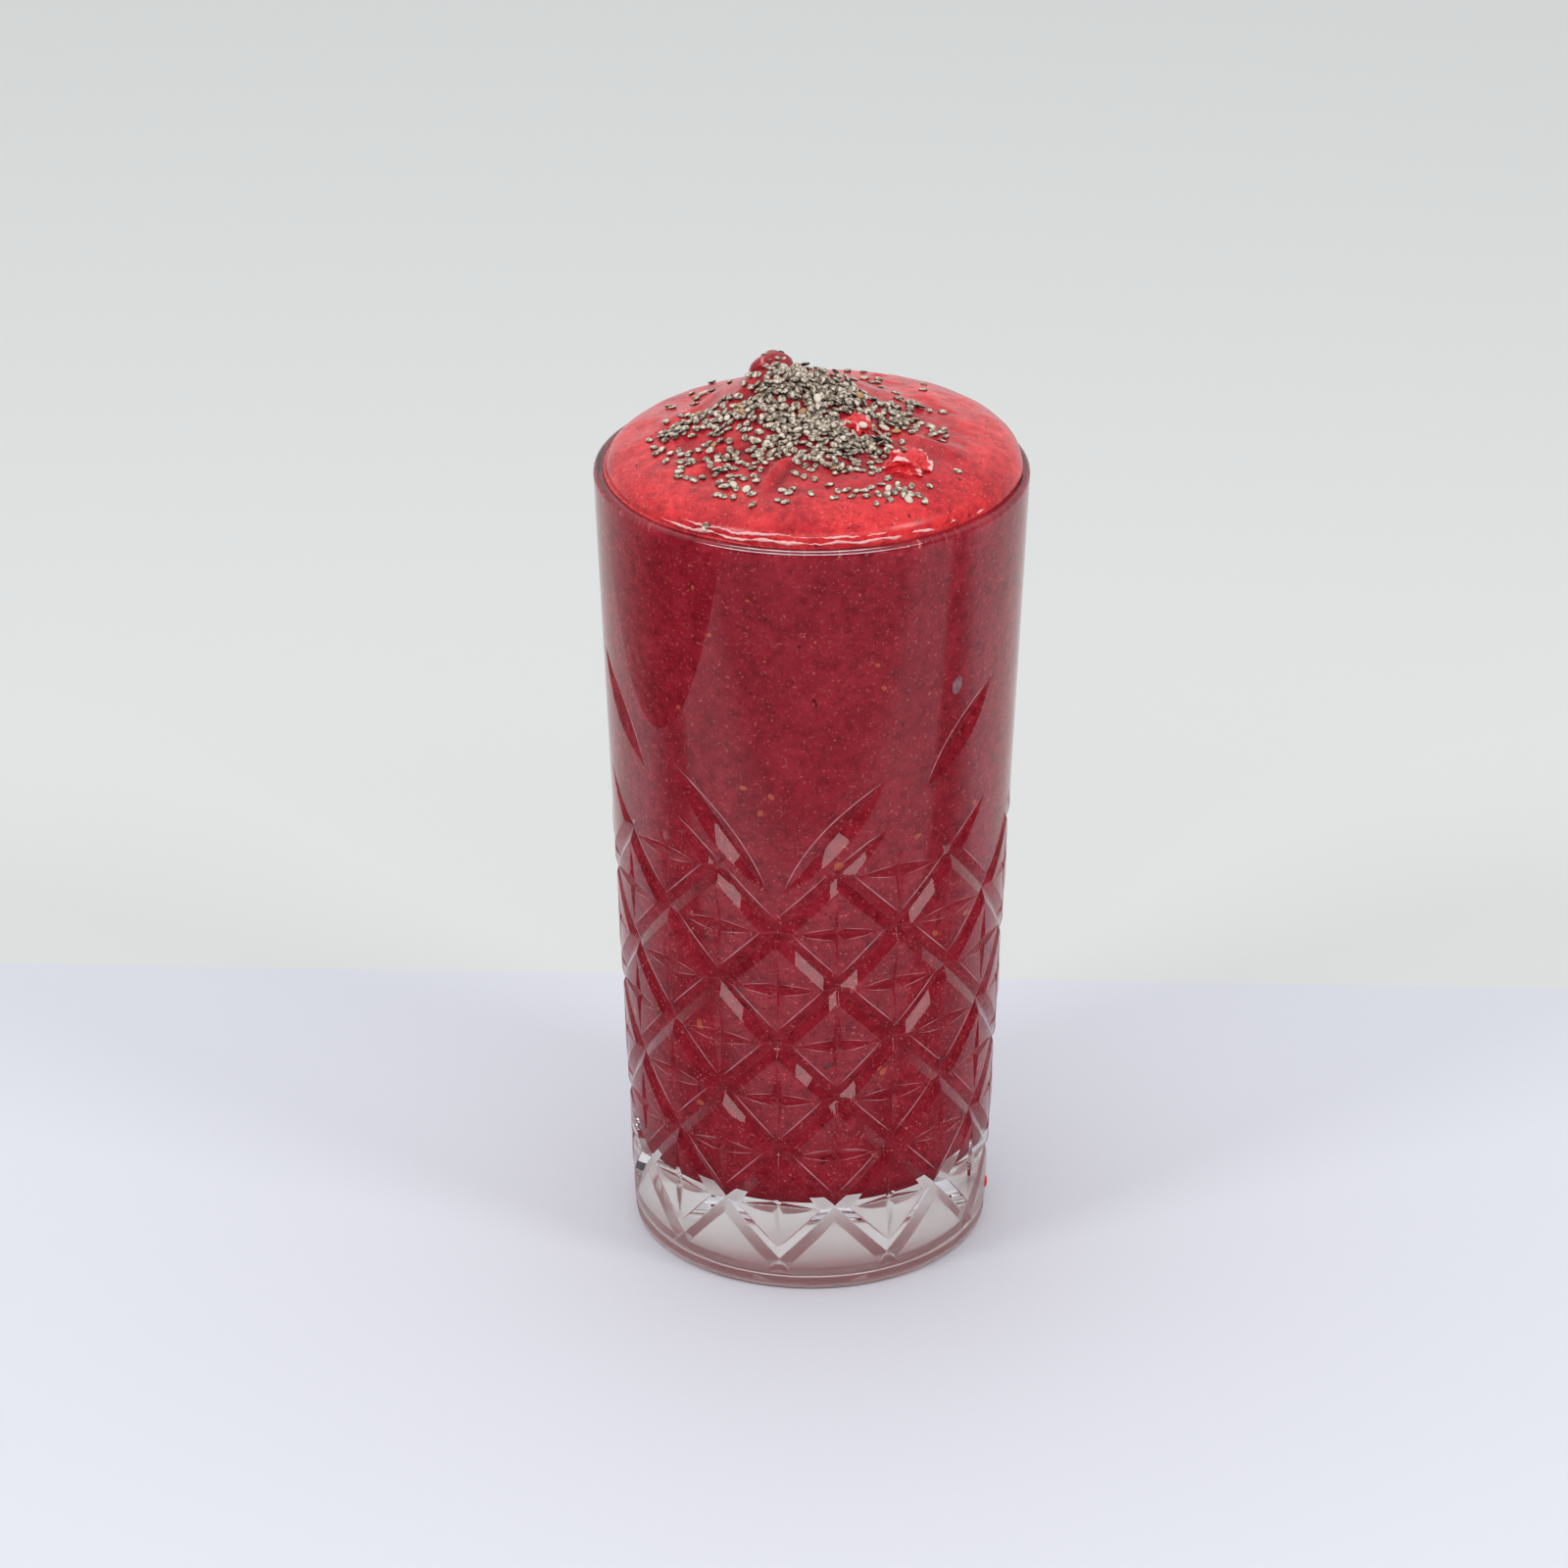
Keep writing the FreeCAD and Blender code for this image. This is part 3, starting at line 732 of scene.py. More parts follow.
def make_fruit(name, x, y, stand, half_sizes, seed, pleats):
    """A torn piece of fruit with wet wrinkled skin."""
    middle = np.array([x, y, GLASS_HEIGHT + plain_heap(x, y) + stand])
    rings, sectors = 110, 170
    points, crests = [], []
    for ring in range(rings + 1):
        tilt = pi * ring / rings
        for k in range(sectors):
            turn = 2 * pi * k / sectors
            way = Vector((sin(tilt) * cos(turn), sin(tilt) * sin(turn), cos(tilt)))
            rib = 1 + 0.10 * cos(3 * turn + 2 * tilt) * sin(tilt)
            bend = noise.noise(way * 1.3 + Vector((seed, 2.0, 0))) * 2.2
            pleat = sin(3.2 * way.x + 4.6 * way.y - 2.0 * way.z + 2.2 * bend)
            crease = 1 - abs(noise.noise(way * 3.1 + Vector((0, seed, bend))))
            reach = rib + pleats * (pleat + 1.9 * (crease - 0.9) - 0.5) + 0.012 * noise.noise(way * 14.0)
            # how strongly each point takes the painted highlight of a fold's crest
            crests.append(pleat * min(1.0, 0.65 + 0.9 * noise.noise(way * 2.6 + Vector((seed, seed, 0)))))
            points.append(middle + np.array([half_sizes[i] * way[i] * reach * FRUIT_SWELL for i in range(3)]))
    faces = [[a, a + sectors, b + sectors, b] for a, b in neighbours(len(points), sectors)]
    return make_mesh(name + "_flesh", points, faces, crest=crests)


# ---- seeds

SPRINKLES = [
    # middle across and back, spread along and over, direction in degrees, number
    (0.5, 1.0, 6.5, 3.2, -8, 92),
    (-1.0, -5.5, 7.5, 4.0, 0, 98),
    (4.5, -3.5, 5.5, 3.0, -20, 46),
    (-1.5, -11.5, 8.0, 3.6, 0, 72),
    (-6.0, 3.0, 3.2, 3.0, 20, 22),
    (10.0, 1.0, 6.5, 2.6, -12, 48),
    (16.5, -1.5, 5.5, 2.4, -20, 30),
    (18.5, 6.0, 4.0, 4.5, 0, 16),
    (-12.5, -2.5, 7.0, 3.2, 15, 50),
    (-20.0, -0.5, 5.0, 3.4, 10, 32),
    (-25.0, -3.0, 2.4, 6.0, 0, 14),
    (9.0, -13.0, 4.0, 3.4, -10, 46),
    (4.0, -17.5, 6.0, 2.4, 0, 18),
    (-18.5, -15.0, 4.6, 4.0, 10, 24),
    (-11.5, -18.0, 4.0, 3.0, 0, 14),
    (-14.0, -23.5, 3.5, 3.0, 0, 8),
    (6.0, -23.0, 9.0, 4.5, 0, 20),
    (14.5, -27.0, 5.0, 2.6, 12, 16),
    (-8.5, -28.5, 5.0, 3.0, 0, 8),
    (-20.0, 12.0, 5.0, 7.0, 0, 8),
    (10.0, 17.0, 9.0, 7.0, 0, 12),
    (-8.0, -8.5, 15.0, 8.0, 0, 54),
    (6.0, -9.0, 14.0, 9.0, 0, 40),
]
SINGLES = [(-18.1, -30.6), (25.5, -17.5), (6.3, 30.0), (9.1, 28.9), (-18.0, 27.5), (11.7, 19.5), (19.8, 16.7)]
PALE_SEEDS = [
    # cream seeds that stand out: across, back
    (-23.0, -10.5), (-13.8, -23.4), (-11.6, -24.4), (-5.0, 7.8), (-4.6, 3.0), (-5.6, -0.5), (-19.4, 16.8),
    (-1.0, -5.2), (2.2, -3.0), (-5.8, -9.6), (13.0, -25.3), (12.3, -13.0), (12.6, -4.2), (19.0, -13.5),
    (2.2, 8.0),
]
SEED_KINDS, SEED_SHARES = ("dark", "pale", "tan"), (0.965, 0.012, 0.023)
SPREAD = 1.28  # how far a sprinkle reaches past its spread
SEED_TRIES, SEED_NUDGE = 14, 0.55  # places tried for each seed, and how far they scatter
TOUCHING, LEANING = (0.95, 0.95), (1.35, 0.35)  # a seed nearer than this to another lies this much above it
HIGHEST_LEVEL = 2.4
LEVEL_RISE = 0.52
SEED_CEILING = 168.6  # no seed's middle stands higher than this
BARE_FRUIT = 0.85  # share of the seeds on the torn fruit that are left out


def seed_mesh(name, seeds, sectors=12, rings=7):
    """One mesh of seeds, each a middle and three half axes; top is 1 where a seed looks out, and falls towards
    its underside, where it sets the painted shade.
    """
    unit = []
    for ring in range(1, rings):
        tilt = pi * ring / rings
        radius = sin(tilt) * (1 - 0.12 * cos(tilt))
        for k in range(sectors):
            turn = 2 * pi * k / sectors
            unit.append((cos(tilt), radius * cos(turn), radius * sin(turn)))
    unit = np.array(unit + [(1.0, 0, 0), (-1.0, 0, 0)])
    top = np.clip((unit[:, 2] + 0.10) / 0.75, 0.0, 1.0)
    last = (rings - 2) * sectors
    unit_faces = [(a, a + sectors, b + sectors, b) for a, b in neighbours(last + sectors, sectors)]
    for k in range(sectors):
        after = (k + 1) % sectors
        unit_faces += [(len(unit) - 2, k, after), (len(unit) - 1, last + after, last + k)]
    solids = [(list(np.array(middle) + unit @ np.array(axes)), unit_faces) for middle, axes in seeds]
    return make_mesh(name, *joined(solids), top=np.tile(top, len(seeds)))


def wanted_seeds(rng):
    """Places and kinds: the cream seeds that stand out, then the sprinkles and single ones in mixed order."""
    wanted = [(x, y, "pale") for x, y in PALE_SEEDS]
    scattered = []
    for across, back, along, over, turn, count in SPRINKLES:
        c, s = cos(radians(turn)), sin(radians(turn))
        for _ in range(count):
            reach, way = SPREAD * sqrt(rng.random()), rng.uniform(0, 2 * pi)
            u, v = along * reach * cos(way), over * reach * sin(way)
            scattered.append((across + u * c - v * s, back + u * s + v * c))
    scattered += SINGLES
    rng.shuffle(scattered)
    return wanted + [(x, y, rng.choices(SEED_KINDS, SEED_SHARES)[0]) for x, y in scattered]


def lowest_place(rng, x, y, laid):
    """Of a few places nearby, the one where a seed lies lowest on those already laid, and its level there."""
    best, level = None, 9.0
    for _ in range(SEED_TRIES):
        tx, ty = x + rng.gauss(0, SEED_NUDGE), y + rng.gauss(0, SEED_NUDGE)
        here = 0.0
        for ox, oy, other in laid:
            gap = hypot(ox - tx, oy - ty)
            if gap < TOUCHING[0]:
                here = max(here, other + TOUCHING[1])
            elif gap < LEANING[0]:
                here = max(here, other + LEANING[1])
        if here < level:
            best, level = (tx, ty), here
    return best, level


def over_fruit(rng, middle, thick):
    """Lifts a seed's middle onto the fruit under it, or out of the heap where the fruit stays bare."""
    for name, x, y, stand, half, *_ in FRUIT:
        q = ((middle.x - x) / half[0]) ** 2 + ((middle.y - y) / half[1]) ** 2
        if q < 1.0 and name != "fruit_peak" and rng.random() < BARE_FRUIT:
            middle.z = SEED_CEILING + 1
        elif q < 0.95:
            top = GLASS_HEIGHT + plain_heap(x, y) + stand + half[2] * sqrt(1 - q)
            if top + thick * 0.5 > middle.z:
                middle.z = top + thick * 0.4


def lay_seeds():
    """Seeds of three kinds, flat on the heap and on one another, each as its middle and three half axes."""
    rng = random.Random(5)
    kinds = {kind: [] for kind in SEED_KINDS}
    laid = []
    for x, y, kind in wanted_seeds(rng):
        length = rng.uniform(0.80, 0.97) * (1.18 if kind == "pale" else 1.0)
        width = length * rng.uniform(0.64, 0.74)
        thick = length * rng.uniform(0.29, 0.36)
        (x, y), level = lowest_place(rng, x, y, laid)
        if level > HIGHEST_LEVEL:
            continue
        laid.append((x, y, level))
        flat = heap_normal(x, y)
        tilt = 0.08 if level == 0 else 0.30
        normal = (flat + Vector((rng.gauss(0, tilt), rng.gauss(0, tilt), 0))).normalized()
        way = Vector((rng.gauss(0, 1), rng.gauss(0, 1), rng.gauss(0, 0.1)))
        way = (way - normal * way.dot(normal)).normalized()
        middle = Vector((x, y, GLASS_HEIGHT + heap(x, y)))
        lift = flat * (thick * 0.62 + level * LEVEL_RISE)
        middle.z += lift.z
        over_fruit(rng, middle, thick)
        if middle.z <= SEED_CEILING:
            middle.x, middle.y = middle.x + lift.x, middle.y + lift.y
            kinds[kind].append((middle, (way * length, normal.cross(way) * width, normal * thick)))
    return kinds


# ---- bits seen through the wall, and the drip

ORANGE_SEEDS = [
    # degrees from the front, height
    (-34, 140.2), (-18, 139.5), (-24, 137.5), (-29, 131.6), (20, 122.3), (18, 127.0), (-12, 101.5), (33, 91.2),
    (-20, 102.5), (-15, 98.0), (41, 70.0), (8, 88.0), (-38, 52.0), (24, 44.0),
]
DARK_BITS = [
    # degrees from the front, height, half length
    (-1.5, 142.0, 1.3), (38, 141.0, 1.6), (33, 143.5, 1.2), (-5, 139.5, 1.0), (-16, 143.0, 0.9),
    (6, 141.5, 0.9),
]
MORE_ORANGE, MORE_DARK, BUBBLES = 46, 60, 1700
THICK_SIDES = (-52, 52)  # degrees from the front round which the bubbles gather
WALL_BUBBLE = (45.0, 119.6)
DRIP = (84, 6.0)


def on_drink(degrees, z):
    """A place on the drink's side, with the directions round the glass and out of it."""
    turn = radians(degrees)
    share = (z - FLOOR_HEIGHT) / (GLASS_HEIGHT - FLOOR_HEIGHT)
    radius = FLOOR_RADIUS + (RIM_RADIUS - RIM_WALL - FLOOR_RADIUS) * share + INTO_WALL
    return facing(turn) * radius + UP * z, Vector((cos(turn), sin(turn), 0)), facing(turn)


def wall_bit(rng, degrees, z, length, width, thick):
    middle, level, out = on_drink(degrees, z)
    turn = rng.uniform(0, pi)
    way = level * cos(turn) + UP * sin(turn)
    return middle, (way * length, out.cross(way) * width, out * thick)


def bits_behind_glass():
    """Orange seeds, dark bits and small pale bubbles, the last denser at the sides."""
    rng = random.Random(17)
    orange = [wall_bit(rng, d, z, 0.95, 0.62, 0.10) for d, z in ORANGE_SEEDS]
    for _ in range(MORE_ORANGE):
        orange.append(wall_bit(rng, rng.uniform(50, 320), rng.uniform(28, 144), 0.9, 0.6, 0.10))
    dark = [wall_bit(rng, d, z, r, r * 0.7, 0.08) for d, z, r in DARK_BITS]
    for _ in range(MORE_DARK):
        size = rng.uniform(0.35, 0.9)
        dark.append(wall_bit(rng, rng.uniform(-180, 180), rng.uniform(30, 145), size, size * 0.7, 0.07))
    pale = []
    for _ in range(BUBBLES):
        size = rng.uniform(0.08, 0.17) * (1.9 if rng.random() < 0.05 else 1.0)
        at_side = rng.random() < 0.35
        degrees = rng.gauss(0, 1) * 12 + rng.choice(THICK_SIDES) if at_side else rng.uniform(-180, 180)
        pale.append(wall_bit(rng, degrees, rng.uniform(24, 143.5), size, size * 0.8, 0.08))
    return orange, dark, pale


def wall_bubble():
    middle, level, out = on_drink(*WALL_BUBBLE)
    return middle, (UP * 2.4 + level * 0.5, level * 1.1 - UP * 0.2, out * 0.14)


def drip():
    """The small drip on the outside of the foot."""
    turn, z = radians(DRIP[0]), DRIP[1]
    side = Vector((cos(turn), sin(turn), 0))
    return facing(turn) * (wall_radius(z) - 0.05) + UP * z, (UP * -1.3, side * 0.75, facing(turn) * 0.45)


# ---- materials

BLACK, WHITE = (0.0, 0.0, 0.0), (1.0, 1.0, 1.0)


def srgb(*levels):
    shares = [level / 255 for level in levels]
    return tuple(s / 12.92 if s <= 0.04045 else ((s + 0.055) / 1.055) ** 2.4 for s in shares)


class Tree:
    """Short ways to add nodes to a node tree; a value is a number, a colour or another node's output."""

    def __init__(self, owner):
        owner.use_nodes = True
        self.nodes, self.links = owner.node_tree.nodes, owner.node_tree.links

    def add(self, kind, output, values=(), **settings):
        node = self.nodes.new("ShaderNode" + kind)
        for setting, value in settings.items():
            setattr(node, setting, value)
        for name, value in dict(values).items():
            socket = node.inputs[name]
            if isinstance(value, bpy.types.NodeSocket):
                self.links.new(value, socket)
            elif isinstance(value, tuple) and len(socket.default_value) == 4:
                socket.default_value = (*value, 1.0)
            else:
                socket.default_value = value
        return node.outputs[output]

    def noise(self, scale, detail, rough):
        place = self.add("TexCoord", "Object")
        values = {"Vector": place, "Scale": scale, "Detail": detail, "Roughness": rough}
        return self.add("TexNoise", "Fac", values)

    def attribute(self, name):
        return self.add("Attribute", "Fac", attribute_name=name)

    def ramp(self, value, stops):
        node = self.nodes.new("ShaderNodeValToRGB")
        elements = node.color_ramp.elements
        while len(elements) < len(stops):
            elements.new(0.5)
        for element, (place, colour) in zip(elements, stops):
            element.position = place
            element.color = (*colour, 1.0)
        self.links.new(value, node.inputs["Fac"])
        return node.outputs["Color"]

    def mix(self, factor, first, second, blend="MIX"):
        return self.add("Mix", 2, {0: factor, 6: first, 7: second}, data_type="RGBA", blend_type=blend)

    def mix_number(self, factor, first, second):
        return self.add("Mix", 0, {0: factor, 2: first, 3: second})

    def span(self, value, low, high, to_low=0.0, to_high=1.0, kind="SMOOTHSTEP"):
        values = {"Value": value, "From Min": low, "From Max": high, "To Min": to_low, "To Max": to_high}
        return self.add("MapRange", "Result", values, interpolation_type=kind)


def material(name):
    mat = bpy.data.materials.new(name)
    tree = Tree(mat)
    return mat, tree, tree.nodes["Principled BSDF"].inputs


def glass_material(name, roughness, clear):
    mat, _, inputs = material(name)
    inputs["Base Color"].default_value = (0.97, 0.98, 0.98, 1)
    inputs["Roughness"].default_value = roughness
    inputs["IOR"].default_value = 1.45
    inputs["Transmission Weight"].default_value = clear
    return mat


CLOUDS = [(0.30, (0.62, 0.55, 0.6)), (0.5, WHITE), (0.70, (1.16, 1.5, 1.4))]
GRIT = (0.22, 0.010, 0.022)
# the heap's colour is multiplied towards this at its deepest red and fullest painted shade in hollows
DEEP_RED_AND_SHADE_TONE = (0.42, 0.34, 0.50)


def drink_material(name, wet, low, high, dots):
    """Blended fruit: dull crimson with fine pale and dark specks; wet where it stands over the rim."""
    mat, tree, inputs = material(name)
    fine = tree.noise(1700, 3, 0.7)
    base = tree.ramp(tree.noise(110, 4, 0.6), [(0.34, low), (0.64, high)])
    colour = tree.mix(1.0, base, tree.ramp(tree.noise(520, 3, 0.65), CLOUDS), "MULTIPLY")
    colour = tree.mix(tree.ramp(fine, [(0.60, BLACK), (0.72, WHITE)]), colour, dots)
    colour = tree.mix(tree.ramp(tree.noise(700, 2, 0.5), [(0.27, WHITE), (0.33, BLACK)]), colour, GRIT)
    if wet:
        # deeper red round the mound, and painted shade in the heap's hollows
        tone = tree.ramp(tree.attribute("deep"), [(0.0, WHITE), (1.0, DEEP_RED_AND_SHADE_TONE)])
        colour = tree.mix(1.0, colour, tone, "MULTIPLY")
        bump = tree.add("Bump", "Normal", {"Strength": 0.25, "Distance": 0.0001, "Height": fine})
        tree.links.new(bump, inputs["Normal"])
    tree.links.new(colour, inputs["Base Color"])
    # behind the glass there is no air, so nothing shines there
    inputs["Roughness"].default_value = 0.22 if wet else 0.8
    inputs["IOR"].default_value = 1.36
    inputs["Specular IOR Level"].default_value = 0.5 if wet else 0.0
    return mat


def fruit_material(name, dull, bright, crest_colour):
    """Wet skin, with painted highlights along the crests of its folds."""
    mat, tree, inputs = material(name)
    colour = tree.ramp(tree.noise(400, 4, 0.7), [(0.3, dull), (0.7, bright)])
    pale = tree.ramp(tree.attribute("crest"), [(0.70, BLACK), (0.84, (0.9, 0.9, 0.9))])
    tree.links.new(tree.mix(pale, colour, crest_colour), inputs["Base Color"])
    inputs["Roughness"].default_value = 0.07
    inputs["IOR"].default_value = 1.5
    return mat


def mottled_material(name, stops, scale, under_shade=1.0):
    """Mottled skin, with painted shade, darker by the given factor, where a seed's side turns under."""
    mat, tree, inputs = material(name)
    colour = tree.ramp(tree.noise(scale, 3, 0.7), stops)
    # painted shade where a seed's side turns under
    side = tree.ramp(tree.attribute("top"), [(0.15, (under_shade, under_shade, under_shade)), (1.0, WHITE)])
    tree.links.new(tree.mix(1.0, colour, side, "MULTIPLY"), inputs["Base Color"])
    inputs["Roughness"].default_value = 0.5
    return mat


# ---- the pieces

UNDERSIDE_TOP, UNDERSIDE_RADIUS = 0.9, 29.5  # the part of the foot that is ground, not polished


def dress(piece, mat, nodes=()):
    piece.data.materials.append(mat)
    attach(piece, "root")
    if nodes:
        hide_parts(*nodes)
    return piece


def dress_glass():
    body = dress(make_glass(), glass_material("glass", 0.0, 1.0), ["glass"])
    body.data.materials.append(glass_material("glass_underside", 0.24, 0.62))
    for face in body.data.polygons:
        if face.center.z / MM < UNDERSIDE_TOP and face.center.xy.length / MM < UNDERSIDE_RADIUS:
            face.material_index = 1
    # pale pink painted highlight lines along the cuts' edges
    edge = mottled_material("painted_edge_highlight", [(0.3, (0.40, 0.13, 0.16)), (0.7, (0.62, 0.33, 0.36))], 500)
    dress(make_edge_highlights(), edge)


def dress_drink():
    # the drink behind the glass is the same blend as the heap, in darker colours as painted shade on its side
    dull = (0.42, 0.016, 0.035), (0.54, 0.028, 0.052), (0.90, 0.24, 0.21)
    bright = (0.50, 0.013, 0.024), (0.78, 0.038, 0.044), (0.92, 0.20, 0.17)
    behind, wet = drink_material("drink_behind_glass", False, *dull), drink_material("drink_wet", True, *bright)
    # pale pink painted highlight lines on the heap's wet shoulder
    painted_shoulder_highlight = mottled_material("painted_shoulder_highlight", [(0.3, (0.86, 0.30, 0.30)), (0.7, (0.95, 0.62, 0.60))], 1200)
    # near-white painted highlight lines on the front of the rim
    painted_rim_highlight = mottled_material("painted_rim_highlight", [(0.3, (0.90, 0.80, 0.80)), (0.7, (0.97, 0.93, 0.93))], 900)
    dress(make_fill(DRINK_SECTORS), behind, ["drink"])
    dress(make_heap(DRINK_SECTORS), wet, ["drink"])
    dress(make_shoulder_highlights(), painted_shoulder_highlight)
    dress(make_rim_highlights(), painted_rim_highlight)


def dress_fruit():
    # the last colour of each fruit material is the painted highlight on the crests of its folds
    flesh = fruit_material("fruit", (0.58, 0.008, 0.016), (0.84, 0.04, 0.045), (1.0, 0.62, 0.60))
    dark = fruit_material("fruit_dark", (0.22, 0.005, 0.012), (0.42, 0.014, 0.024), (0.80, 0.20, 0.22))
    for fruit in FRUIT:
        dress(make_fruit(*fruit), dark if fruit[0] == "fruit_peak" else flesh, [fruit[0]])
    return flesh


def dress_seeds():
    dark = [(0.38, srgb(88, 70, 54)), (0.50, srgb(172, 154, 135)), (0.60, srgb(244, 230, 212))]
    pale = [(0.3, srgb(214, 196, 178)), (0.7, srgb(244, 232, 218))]
    brown = [(0.3, srgb(170, 120, 80)), (0.7, srgb(214, 168, 118))]
    kinds = lay_seeds()
    # the last number of each seed material is the painted shade under its sides
    dress(seed_mesh("seeds_dark", kinds["dark"]), mottled_material("seed_dark", dark, 1400, 0.10))
    dress(seed_mesh("seeds_pale", kinds["pale"]), mottled_material("seed_pale", pale, 900, 0.5))
    dress(seed_mesh("seeds_tan", kinds["tan"]), mottled_material("seed_tan", brown, 900))


def dress_behind_glass(flesh):
    berry = mottled_material("berry_seed", [(0.3, (0.66, 0.09, 0.03)), (0.7, (0.80, 0.16, 0.06))], 900)
    skin = mottled_material("dark_skin", [(0.3, (0.16, 0.005, 0.014)), (0.7, (0.34, 0.010, 0.024))], 900)
    froth = mottled_material("froth", [(0.3, (0.78, 0.12, 0.14)), (0.7, (0.92, 0.40, 0.38))], 900)
    air = mottled_material("trapped_air", [(0.35, (0.30, 0.12, 0.15)), (0.65, (0.62, 0.36, 0.40))], 1200)
    orange, dark, pale = bits_behind_glass()
    dress(seed_mesh("berry_seeds_behind_glass", orange), berry)
    dress(seed_mesh("skin_behind_glass", dark, 9, 6), skin)
    dress(seed_mesh("bubbles_behind_glass", pale, 6, 4), froth)
    dress(seed_mesh("wall_bubble", [wall_bubble()], 24, 14), air)
    dress(seed_mesh("drip", [drip()], 24, 14), flesh)


# ---- table, light and camera; lengths here are metres

TABLE_EDGE, TABLE_SLANT = 0.0888, 0.034  # the line where the table's colour ends, and its slant
TABLE, ROOM = (-0.228, 0.45, -0.34, 1.2), (-3.0, 3.0, -3.0, 3.0)  # left, right, front and back
FLOOR_DROP = 0.00005  # the air under the glass
TABLE_COLOUR, BEYOND_COLOUR = srgb(222, 224, 233), srgb(225, 227, 226)
# painted shade on the table that only the glass's reflections see, by the place from front to back
MIRRORED = [(-0.205, 0.30), (-0.165, 0.85), (-0.085, 0.85), (-0.070, 0.18), (-0.035, 0.18), (0.035, 1.0)]
MIRRORED_FROM, MIRRORED_TO = -0.25, 0.05
# a painted glow of the table under the glass, seen only through the glass: its strength, and where it fades out
UNDER_GLASS_GLOW, UNDER_GLASS_GLOW_REACH = 0.5, (0.030, 0.034)
BRIGHT_WAY = (-0.06, 0.72, 0.62)  # its dot product with a direction tells how bright the room is there
ROOM_DARK, ROOM_BRIGHT = 0.05, 0.86
PALE_ROOM = 0.745  # what the camera sees past the table
THROUGH_DARK, THROUGH_BRIGHT = 0.58, 0.84  # the same room as the clear base shows it
LAMPS = [
    # name, place, height aimed at, size, watts
    ("soft_top", (-0.35, 0.35, 1.3), 0.1, (1.2, 1.0), 1.3),
    ("soft_front", (0.0, -1.05, 1.0), 0.1, (1.8, 0.36), 5.2),
    ("soft_left", (-0.85, -0.60, 0.95), 0.1, (0.3, 0.3), 3.6),
    ("soft_right", (0.85, -0.55, 0.85), 0.1, (0.3, 0.3), 3.4),
    ("low_left", (-0.20, -0.78, 0.068), 0.06, (0.22, 0.08), 0.20),
    ("low_right", (0.425, -0.70, 0.068), 0.06, (0.22, 0.08), 0.20),
]
CAMERA_PITCH, CAMERA_DISTANCE = 0.45801, 1.0132
CAMERA_LEFT, LOOK_HEIGHT = 0.004874, 0.08695
SENSOR_WIDTH, LENS = 36.0, 128.607


def floor_material():
    """Pale table and room; the glass's reflections see it darkened by MIRRORED, a painted shade, and through
    the base a painted glow shows under the glass.
    """
    mat, tree, inputs = material("floor")
    place = tree.add("TexCoord", "Object")
    split = tree.nodes.new("ShaderNodeSeparateXYZ")
    tree.links.new(place, split.inputs[0])
    x, y = split.outputs["X"], split.outputs["Y"]
    slanted = tree.add("Math", 0, {0: x, 1: TABLE_SLANT, 2: y}, operation="MULTIPLY_ADD")
    edge = tree.span(slanted, TABLE_EDGE - 0.0008, TABLE_EDGE + 0.0008, kind="LINEAR")
    colour = tree.mix(edge, TABLE_COLOUR, BEYOND_COLOUR)
    # the table as reflections see it, with painted shade by the place from front to back
    stops = [((y_at - MIRRORED_FROM) / (MIRRORED_TO - MIRRORED_FROM), (level,) * 3) for y_at, level in MIRRORED]
    mirrored = tree.ramp(tree.span(y, MIRRORED_FROM, MIRRORED_TO, kind="LINEAR"), stops)
    dimmed = tree.mix(1.0, colour, mirrored, "MULTIPLY")
    colour = tree.mix(tree.add("LightPath", "Is Glossy Ray"), colour, dimmed)
    tree.links.new(colour, inputs["Base Color"])
    inputs["Roughness"].default_value = 0.6
    inputs["Specular IOR Level"].default_value = 0.2
    # painted glow under the glass, which only rays through the glass see
    reach = tree.add("VectorMath", "Value", {0: place}, operation="LENGTH")
    under = tree.span(reach, *UNDER_GLASS_GLOW_REACH, UNDER_GLASS_GLOW, 0.0)
    seen = tree.add("LightPath", "Is Transmission Ray")
    inputs["Emission Color"].default_value = (0.86, 0.84, 0.88, 1)
    strength = tree.add("Math", 0, {0: under, 1: seen}, operation="MULTIPLY")
    tree.links.new(strength, inputs["Emission Strength"])
    return mat


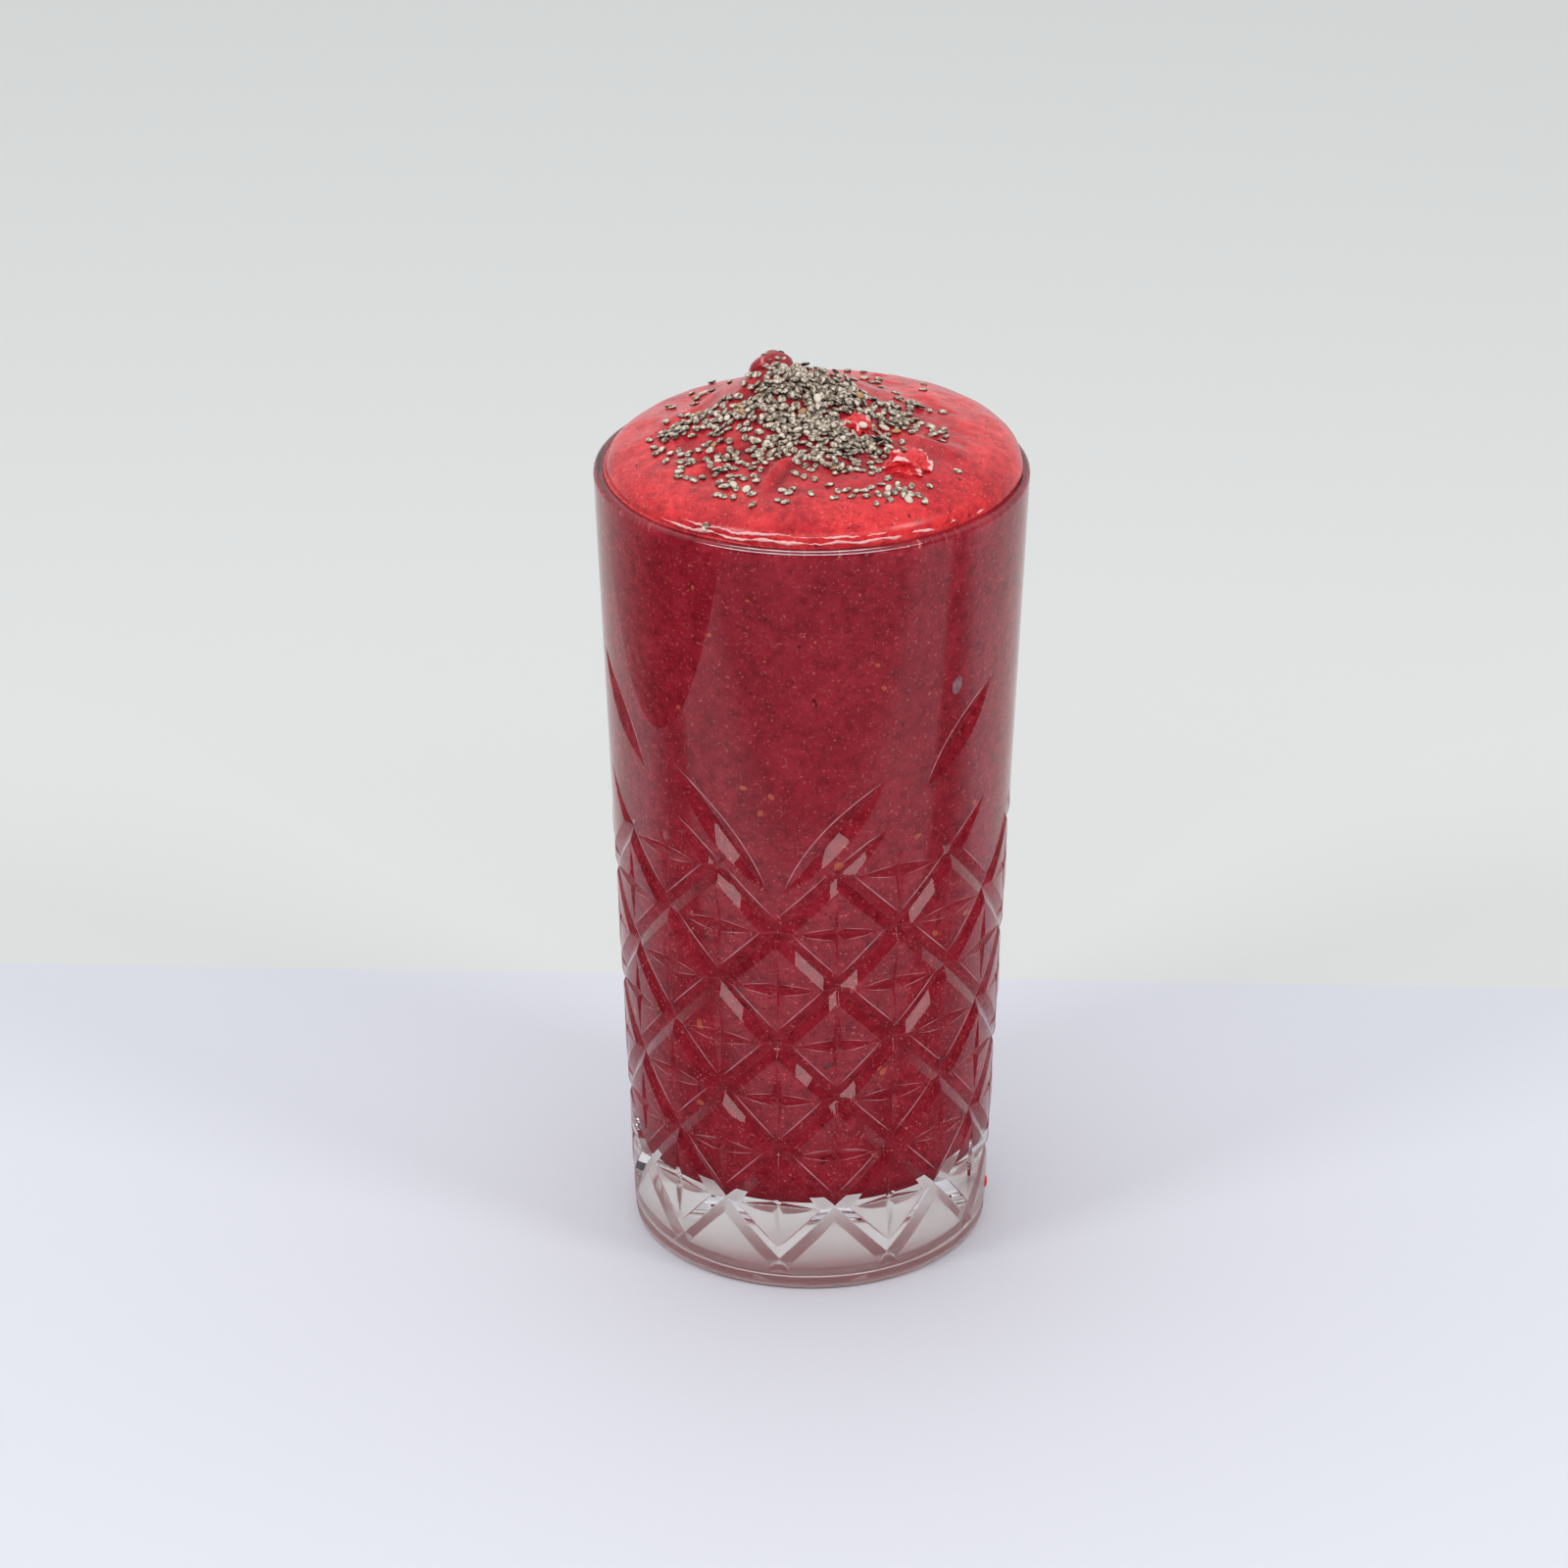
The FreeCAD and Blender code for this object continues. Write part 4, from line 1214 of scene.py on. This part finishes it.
def make_floor():
    """The table round the glass, and the room's floor beyond it, which the glass doesn't mirror."""
    table, room = ([(left, front), (right, front), (right, back), (left, back)] for left, right, front, back
                   in (TABLE, ROOM))
    beyond = [(0, 1, 5, 4), (1, 2, 6, 5), (2, 3, 7, 6), (3, 0, 4, 7)]
    mat = floor_material()
    pieces = []
    for name, corners, faces in (("table", table, [(0, 1, 2, 3)]), ("room_floor", room + table, beyond)):
        mesh = bpy.data.meshes.new(name)
        mesh.from_pydata([(x, y, -FLOOR_DROP) for x, y in corners], [], faces)
        mesh.materials.append(mat)
        pieces.append(link(mesh, name))
    pieces[1].visible_glossy = False


def make_world():
    """A studio that is bright behind and above the glass and dark round the camera's side of it."""
    world = bpy.data.worlds.new("studio")
    bpy.context.scene.world = world
    tree = Tree(world)
    way = tree.add("TexCoord", "Generated")
    toward = tree.add("VectorMath", "Value", {0: way, 1: BRIGHT_WAY}, operation="DOT_PRODUCT")
    level = tree.span(toward, -0.30, 0.50, ROOM_DARK, ROOM_BRIGHT)
    through = tree.span(toward, -0.30, 0.60, THROUGH_DARK, THROUGH_BRIGHT)
    strength = tree.mix_number(tree.add("LightPath", "Is Transmission Ray"), level, through)
    strength = tree.mix_number(tree.add("LightPath", "Is Camera Ray"), strength, PALE_ROOM)
    background = tree.nodes["Background"]
    background.inputs["Color"].default_value = (0.98, 0.99, 1.0, 1)
    tree.links.new(strength, background.inputs["Strength"])


def area_light(name, place, aim, size, power):
    data = bpy.data.lights.new(name, "AREA")
    data.shape = "RECTANGLE"
    data.size, data.size_y = size
    data.energy = power
    lamp = link(data, name)
    lamp.location = place
    lamp.rotation_euler = (UP * aim - Vector(place)).to_track_quat("-Z", "Y").to_euler()


def make_camera():
    data = bpy.data.cameras.new("camera")
    data.sensor_width = SENSOR_WIDTH
    data.lens = LENS
    data.clip_start = 0.05
    camera = link(data, "camera")
    out, up = CAMERA_DISTANCE * cos(CAMERA_PITCH), CAMERA_DISTANCE * sin(CAMERA_PITCH)
    camera.location = (-CAMERA_LEFT, -out, LOOK_HEIGHT + up)
    camera.rotation_euler = (pi / 2 - CAMERA_PITCH, 0, 0)
    bpy.context.scene.camera = camera


dress_glass()
dress_drink()
FLESH = dress_fruit()
dress_seeds()
dress_behind_glass(FLESH)
make_floor()
make_world()
for row in LAMPS:
    area_light(*row)
make_camera()
bpy.context.scene.view_settings.view_transform = "Standard"
